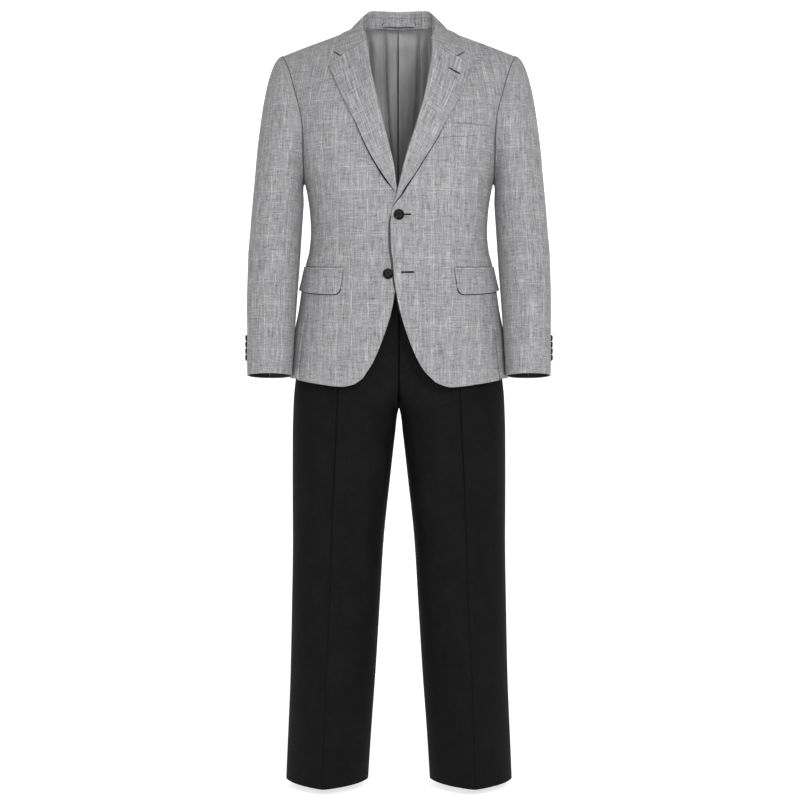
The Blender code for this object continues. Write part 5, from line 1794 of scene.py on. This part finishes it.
def makeLoop():
    columns, rows = loopCut["columns"], loopCut["rows"]
    x = mix(-loopCut["width"] / 2, loopCut["width"] / 2, columns)
    stand = standSheet[0]
    middle = stand.shape[1] // 2
    tall = np.linalg.norm(stand[0, middle] - stand[-1, middle])
    inside = np.clip(1 - np.minimum(x - x[0], x[-1] - x) / loopCut["corner"], 0, 1)
    rounding = loopCut["corner"] / tall * (1 - np.sqrt(1 - inside**2))
    half = loopCut["height"] / tall / 2 - rounding
    both = [overStand(x, loopCut["low"] + half * row, 0.0) for row in np.linspace(-1, 1, rows + 1)]
    grid, ways = [np.array(part) for part in zip(*both)]
    away = fabric["lay"] + loopCut["standOff"] * np.sin(np.linspace(0, math.pi, columns + 1)) ** 0.5
    # Painted shade round the loop's ends and top, and under its lower edge
    beside, above = np.array([0.0008, 0, 0]), np.array([0, 0, 0.0014])
    edgeShade = np.concatenate([grid[::-1, 0] - beside, grid[0, 1:] + above, grid[1:, -1] + beside])
    around = np.concatenate([ways[::-1, 0], ways[0, 1:], ways[1:, -1]])
    addShade(None, edgeShade + around * 0.0003, around, loopCut["edgeShade"], "charcoal")
    below = grid[-1] + ways[-1] * 0.0002 - np.array([0, 0, 0.0006])
    addShade(None, below, ways[-1], loopCut["lowEdgeShade"], "charcoal")
    grid = grid + ways * away[None, :, None]
    sheet = grid, ways, gridGrain(grid)
    sew("hangerLoop", "hanger_loop", loopCut, sheet, loopCut["cloth"], wool, lift=loopCut["cloth"])


def sewStand():
    x = np.linspace(-0.072, 0.070, 90)
    path, ways = overStand(x, np.full(90, 0.40), 0.0001)
    addStitches("charcoal", path, ways, *stitchCut["stand"])
    path, ways = overStand(np.full(12, 0.0445), np.linspace(0.02, 0.98, 12), 0.0001)
    addStitches("charcoal", path, ways, *stitchCut["standEnd"])


makeLoop()
sewStand()
print("collar's inside made")

# Trousers
legCut = {
    "bandFlat": (0.820, 0.0425, 0.034),
    "cloth": 0.0016,
    "waistTop": -0.425,
    "bandHeight": 0.040,
    "bandCloth": 0.0024,
    "crotch": -0.718,
    "hem": -1.437,
    "section": 2.3,
    "pressed": 0.75,
    "pressedFrom": -1.02,
    "crease": 0.0035,
    "creaseReach": 0.030,
    "middleGap": 0.00003,
    "riseRows": 40,
    "risePower": 0.75,
    "foldEdge": 0.08,
    "pinchFrom": -0.56,
    "pinch": 0.0016,
    "pinchOut": 0.0004,
    "hemPoint": 0.0026,
    "hemReach": 0.08,
}
legSizes = SizeTable(
    "height outer inner crease front back",
    [
        (-0.425, 0.158, -0.158, 0.088, 0.092, 0.078), (-0.490, 0.170, -0.170, 0.095, 0.095, 0.084),
        (-0.550, 0.182, -0.182, 0.103, 0.096, 0.092), (-0.600, 0.191, -0.172, 0.109, 0.094, 0.098),
        (-0.656, 0.2010, -0.090, 0.114, 0.092, 0.102), (-0.695, 0.2050, -0.028, 0.116, 0.094, 0.105),
        (-0.718, 0.206, 0.0010, 0.117, 0.095, 0.106), (-0.765, 0.2072, 0.0074, 0.119, 0.095, 0.105),
        (-0.848, 0.2075, 0.0168, 0.123, 0.092, 0.100), (-0.973, 0.2070, 0.0300, 0.128, 0.087, 0.090),
        (-1.102, 0.2090, 0.0378, 0.132, 0.084, 0.084), (-1.231, 0.2118, 0.0458, 0.1385, 0.082, 0.082),
        (-1.362, 0.2172, 0.0553, 0.143, 0.082, 0.082), (-1.437, 0.2203, 0.0600, 0.146, 0.083, 0.083),
    ],
)
# Soft folds: distance from the middle and height at both ends, width and depth
legFolds = [
    (0.012, -0.705, 0.075, -0.655, 0.010, 0.0016), (0.015, -0.730, 0.080, -0.700, 0.010, -0.0014),
    (0.150, -0.760, 0.110, -0.900, 0.020, 0.0012), (0.080, -1.040, 0.150, -1.075, 0.016, 0.0014),
    (0.085, -1.090, 0.150, -1.110, 0.016, -0.0012), (0.090, -1.320, 0.130, -1.350, 0.012, 0.0010),
]


# The section's exponent: fuller at the thigh, a lens with pressed creases at the hem
def legRoundness(height):
    share = (legCut["pressedFrom"] - height) / (legCut["pressedFrom"] - legCut["hem"])
    return legCut["section"] - legCut["pressed"] * ease(share)


# Middle and half width of a leg's section
def legWidth(height):
    outer, inner = legSizes.several(height, "outer inner")
    return (outer + inner) / 2, (outer - inner) / 2


# The angle of a point at a distance from the suit's middle
def legAngle(x, height):
    middle, half = legWidth(height)
    share = np.clip((x - middle) / half, -1, 1)
    return np.sign(share) * np.arcsin(np.abs(share) ** (legRoundness(height) / 2))


# A point of a leg's outer face: the angle runs from the inner side to the outer one
def legPlace(angle, height, front):
    middle, half = legWidth(height)
    depth = legSizes.at(height, "front" if front else "back")
    x = middle + half * signedPower(np.sin(angle), 2 / legRoundness(height))
    y = depth * np.cos(angle) ** (2 / legRoundness(height))
    crease = legSizes.at(height, "crease")
    ridge = legCut["crease"] * np.clip(1 - np.abs(x - crease) / legCut["creaseReach"], 0, 1)
    y = y + ridge * ease((legCut["waistTop"] - legCut["bandHeight"] - height) / 0.15)
    return np.stack([x, -y if front else y, np.broadcast_to(height, x.shape)], -1)


def legLevels():
    top = legCut["waistTop"] - legCut["bandHeight"] - fabric["seam"]
    rise = mix(top, legCut["crotch"], legCut["riseRows"], legCut["risePower"])
    below = mix(legCut["crotch"], legCut["hem"], fine["legRows"] - legCut["riseRows"])
    return np.concatenate([rise, below[1:]])


legCuts = {
    "trouserFront": {"flat": (0.267, 0.985, 0.260)},
    "trouserBack": {"flat": (0.272, 0.988, 0.264)},
}


# A leg's half from the inner side, with close columns at both sides of the pressed crease
def legSheet(front):
    rows = []
    side = fine["legColumns"] // 2
    for height in legLevels():
        atCrease = legAngle(legSizes.at(height, "crease"), height)
        pinch = legCut["pinch"] / legWidth(height)[1]
        before = mix(legAngle(legCut["middleGap"], height), atCrease - pinch, side)
        after = mix(atCrease + pinch, math.pi / 2, side)
        rows.append(legPlace(np.concatenate([before, [atCrease], after]), height, front))
    grid = np.array(rows)
    sharp = legCut["pinchOut"] * ease((legCut["pinchFrom"] - grid[:, side + 1, 2]) / 0.03)
    grid[:, side + 1, 1] += sharp * (-1 if front else 1)
    middle = 1 - np.abs(np.linspace(-1, 1, grid.shape[1]))
    low = ease((legCut["hem"] + legCut["hemReach"] - grid[..., 2]) / legCut["hemReach"])
    grid[..., 2] -= legCut["hemPoint"] * middle * low
    return grid


def makeLegs():
    for name, node in (("trouserFront", "trouser_front"), ("trouserBack", "trouser_back")):
        front = name == "trouserFront"
        grid = legSheet(front)
        axis = grid.mean(axis=1, keepdims=True)
        axis[..., 1] = 0
        normals = gridNormals(grid, axis)
        along = np.linspace(0, 1, grid.shape[1])
        away = np.minimum(along, 1 - along) / legCut["foldEdge"]
        height = softFolds(grid[..., 0], grid[..., 2], legFolds) * ease(away)[None]
        grid = grid + normals * height[..., None]
        above = int(np.sum(legLevels() > legCut["crotch"] + 1e-6))
        inPlane(normals, (slice(0, above), 0), 0)
        inPlane(normals, (slice(above, None), 0), 1)
        inPlane(normals, (slice(None), -1), 1)
        grid[:, [0, -1], 1] += (-1 if front else 1) * fabric["seam"] / 2
        grain = gridGrain(grid)
        # The weave's zero across is put on the crease, where the trousers' finish paints the crease shade
        grain[..., 0] -= grain[0, fine["legColumns"] // 2 + 1, 0]
        sheet = grid, normals, grain
        sewPair(name, node, legCuts[name], sheet, legCut["cloth"], trouserWool, slot="trousers")


def makeWaistband():
    columns = 160
    angles = mix(0, 2 * math.pi, columns)
    rows = []
    for height in np.linspace(legCut["waistTop"], legCut["waistTop"] - legCut["bandHeight"], 9):
        side, ahead = np.sin(angles), np.cos(angles)
        depth = np.where(ahead > 0, *legSizes.several(height, "front back"))
        x = legSizes.at(height, "outer") * signedPower(side, 2 / legCut["section"])
        y = -depth * signedPower(ahead, 2 / legCut["section"])
        rows.append(np.stack([x, y, np.full(columns + 1, height)], 1))
    grid = trimmed(np.array(rows), left=fabric["seam"], right=fabric["seam"])
    normals = gridNormals(grid, np.array([0, 0, legCut["waistTop"]]))
    for end in (0, -1):
        inPlane(normals, (slice(None), end), 0)
    sheet, cut = (grid, normals, gridGrain(grid)), {"flat": legCut["bandFlat"]}
    sew("trouserBand", "waistband", cut, sheet, legCut["bandCloth"], trouserWool, slot="trousers")


# The fly's stitching, down the front and round to the middle seam
flyStitch = {"beside": 0.027, "y": -0.09, "top": -0.470, "turn": -0.622, "end": -0.6496}
# The middle seam between the fronts, in shade down to the crotch
middleSeam = {"x": 0.0002, "top": -0.47, "end": -0.716, "shade": 0.0016, "lowShade": 0.0034, "low": -0.652}


# A path settled on the trousers' front, and the ways out of it
def onTrousers(path):
    ways = allAlong(path, 0, -1, 0)
    return settle(surfaceOf(pieces["trouserFrontLeft"]), path, ways, 0.0001), ways


def sewFly():
    turn = np.linspace(0, math.pi / 2, 20)[1:]
    x = np.append(np.ones(40), np.cos(turn)) * flyStitch["beside"] + 0.001
    down = np.linspace(flyStitch["top"], flyStitch["turn"], 40)
    z = np.append(down, flyStitch["turn"] + (flyStitch["end"] - flyStitch["turn"]) * np.sin(turn))
    path, ways = onTrousers(np.stack([x, np.full_like(x, flyStitch["y"]), z], 1))
    addStitches("black", path, ways, *stitchCut["fly"])


# Shade between the two fronts, down to the crotch
def shadeMiddle():
    ends = [[middleSeam["x"], flyStitch["y"], middleSeam[end]] for end in ("top", "end")]
    seam, ways = onTrousers(evenly(ends, 0.003))
    size = middleSeam["shade"] + middleSeam["lowShade"] * ease((middleSeam["low"] - seam[:, 2]) / 0.050)
    addCord("black", seam, ways, size, flat=0.3)


makeLegs()
shadeMiddle()
makeWaistband()
sewFly()
makeSewingAndShade()
print("trousers made")

# Floor, light and camera
stageSet = {
    "floor": -1.4515,
    "reach": 9.0,
    "rise": 6.0,
    "bend": 1.6,
    "backdrop": 2.6,
    "tone": 0.80,
    "glow": 0.72,
    "sky": 0.22,
}
camera = {"place": (0.00195, -3.0, -0.70), "lens": 69.12}
lights = [
    # name, place, size, watts, aims at
    ("keySoftbox", (1.1, -2.9, 1.1), (0.8, 0.8), 46, (0, 0, -0.60)),
    ("fillSoftbox", (-0.5, -3.4, -0.3), (1.6, 1.6), 22, (0, 0, -0.80)),
    ("leftSoftbox", (-2.3, -1.6, 0.5), (1.0, 2.2), 4.5, (0, 0, -0.6)),
    ("rightSoftbox", (2.3, -1.6, 0.3), (1.0, 2.2), 2.5, (0, 0, -0.6)),
    ("overheadSoftbox", (0, -0.3, 2.4), (2.4, 2.0), 12, (0, 0, -0.4)),
]


def makeStage():
    n = Nodes("paper")
    n.set(Base_Color=(stageSet["tone"],) * 3 + (1,), Roughness=0.95, Specular_IOR_Level=0.1)
    n.set(Emission_Color=(1, 1, 1, 1), Emission_Strength=stageSet["glow"])
    angles = np.linspace(0, math.pi / 2, 16)
    y = np.concatenate([[-stageSet["reach"]], stageSet["backdrop"] + stageSet["bend"] * np.sin(angles)])
    z = np.concatenate([[0], stageSet["bend"] * (1 - np.cos(angles))]) + stageSet["floor"]
    y, z = np.append(y, y[-1]), np.append(z, stageSet["floor"] + stageSet["rise"])
    reach = stageSet["reach"]
    points = [(side, b, c) for b, c in zip(y, z) for side in (-reach, reach)]
    faces = [(2 * i, 2 * i + 1, 2 * i + 3, 2 * i + 2) for i in range(len(y) - 1)]
    mesh = bpy.data.meshes.new("paperSweep")
    mesh.from_pydata(points, [], faces)
    mesh.materials.append(n.material)
    mesh.shade_smooth()
    place("paperSweep", mesh)


def makeLights():
    for name, spot, size, power, target in lights:
        lamp = bpy.data.lights.new(name, "AREA")
        lamp.shape = "RECTANGLE"
        lamp.size, lamp.size_y = size
        lamp.energy = power
        piece = bpy.data.objects.new(name, lamp)
        piece.location = spot
        aim = Vector(target) - Vector(spot)
        piece.rotation_euler = aim.to_track_quat("-Z", "Y").to_euler()
        bpy.context.scene.collection.objects.link(piece)
    world = bpy.data.worlds.new("softWorld")
    world.use_nodes = True
    background = world.node_tree.nodes["Background"]
    background.inputs["Color"].default_value = (1, 1, 1, 1)
    background.inputs["Strength"].default_value = stageSet["sky"]
    bpy.context.scene.world = world


def makeCamera():
    lens = bpy.data.cameras.new("camera")
    lens.lens = camera["lens"]
    lens.sensor_width = 36
    lens.clip_end = 60
    view = bpy.data.objects.new("camera", lens)
    view.location = camera["place"]
    view.rotation_euler = (math.radians(90), 0, 0)
    bpy.context.scene.collection.objects.link(view)
    bpy.context.scene.camera = view
    bpy.context.scene.view_settings.view_transform = "Standard"
    bpy.context.scene.view_settings.look = "None"


makeStage()
makeLights()
makeCamera()
print("stage made")
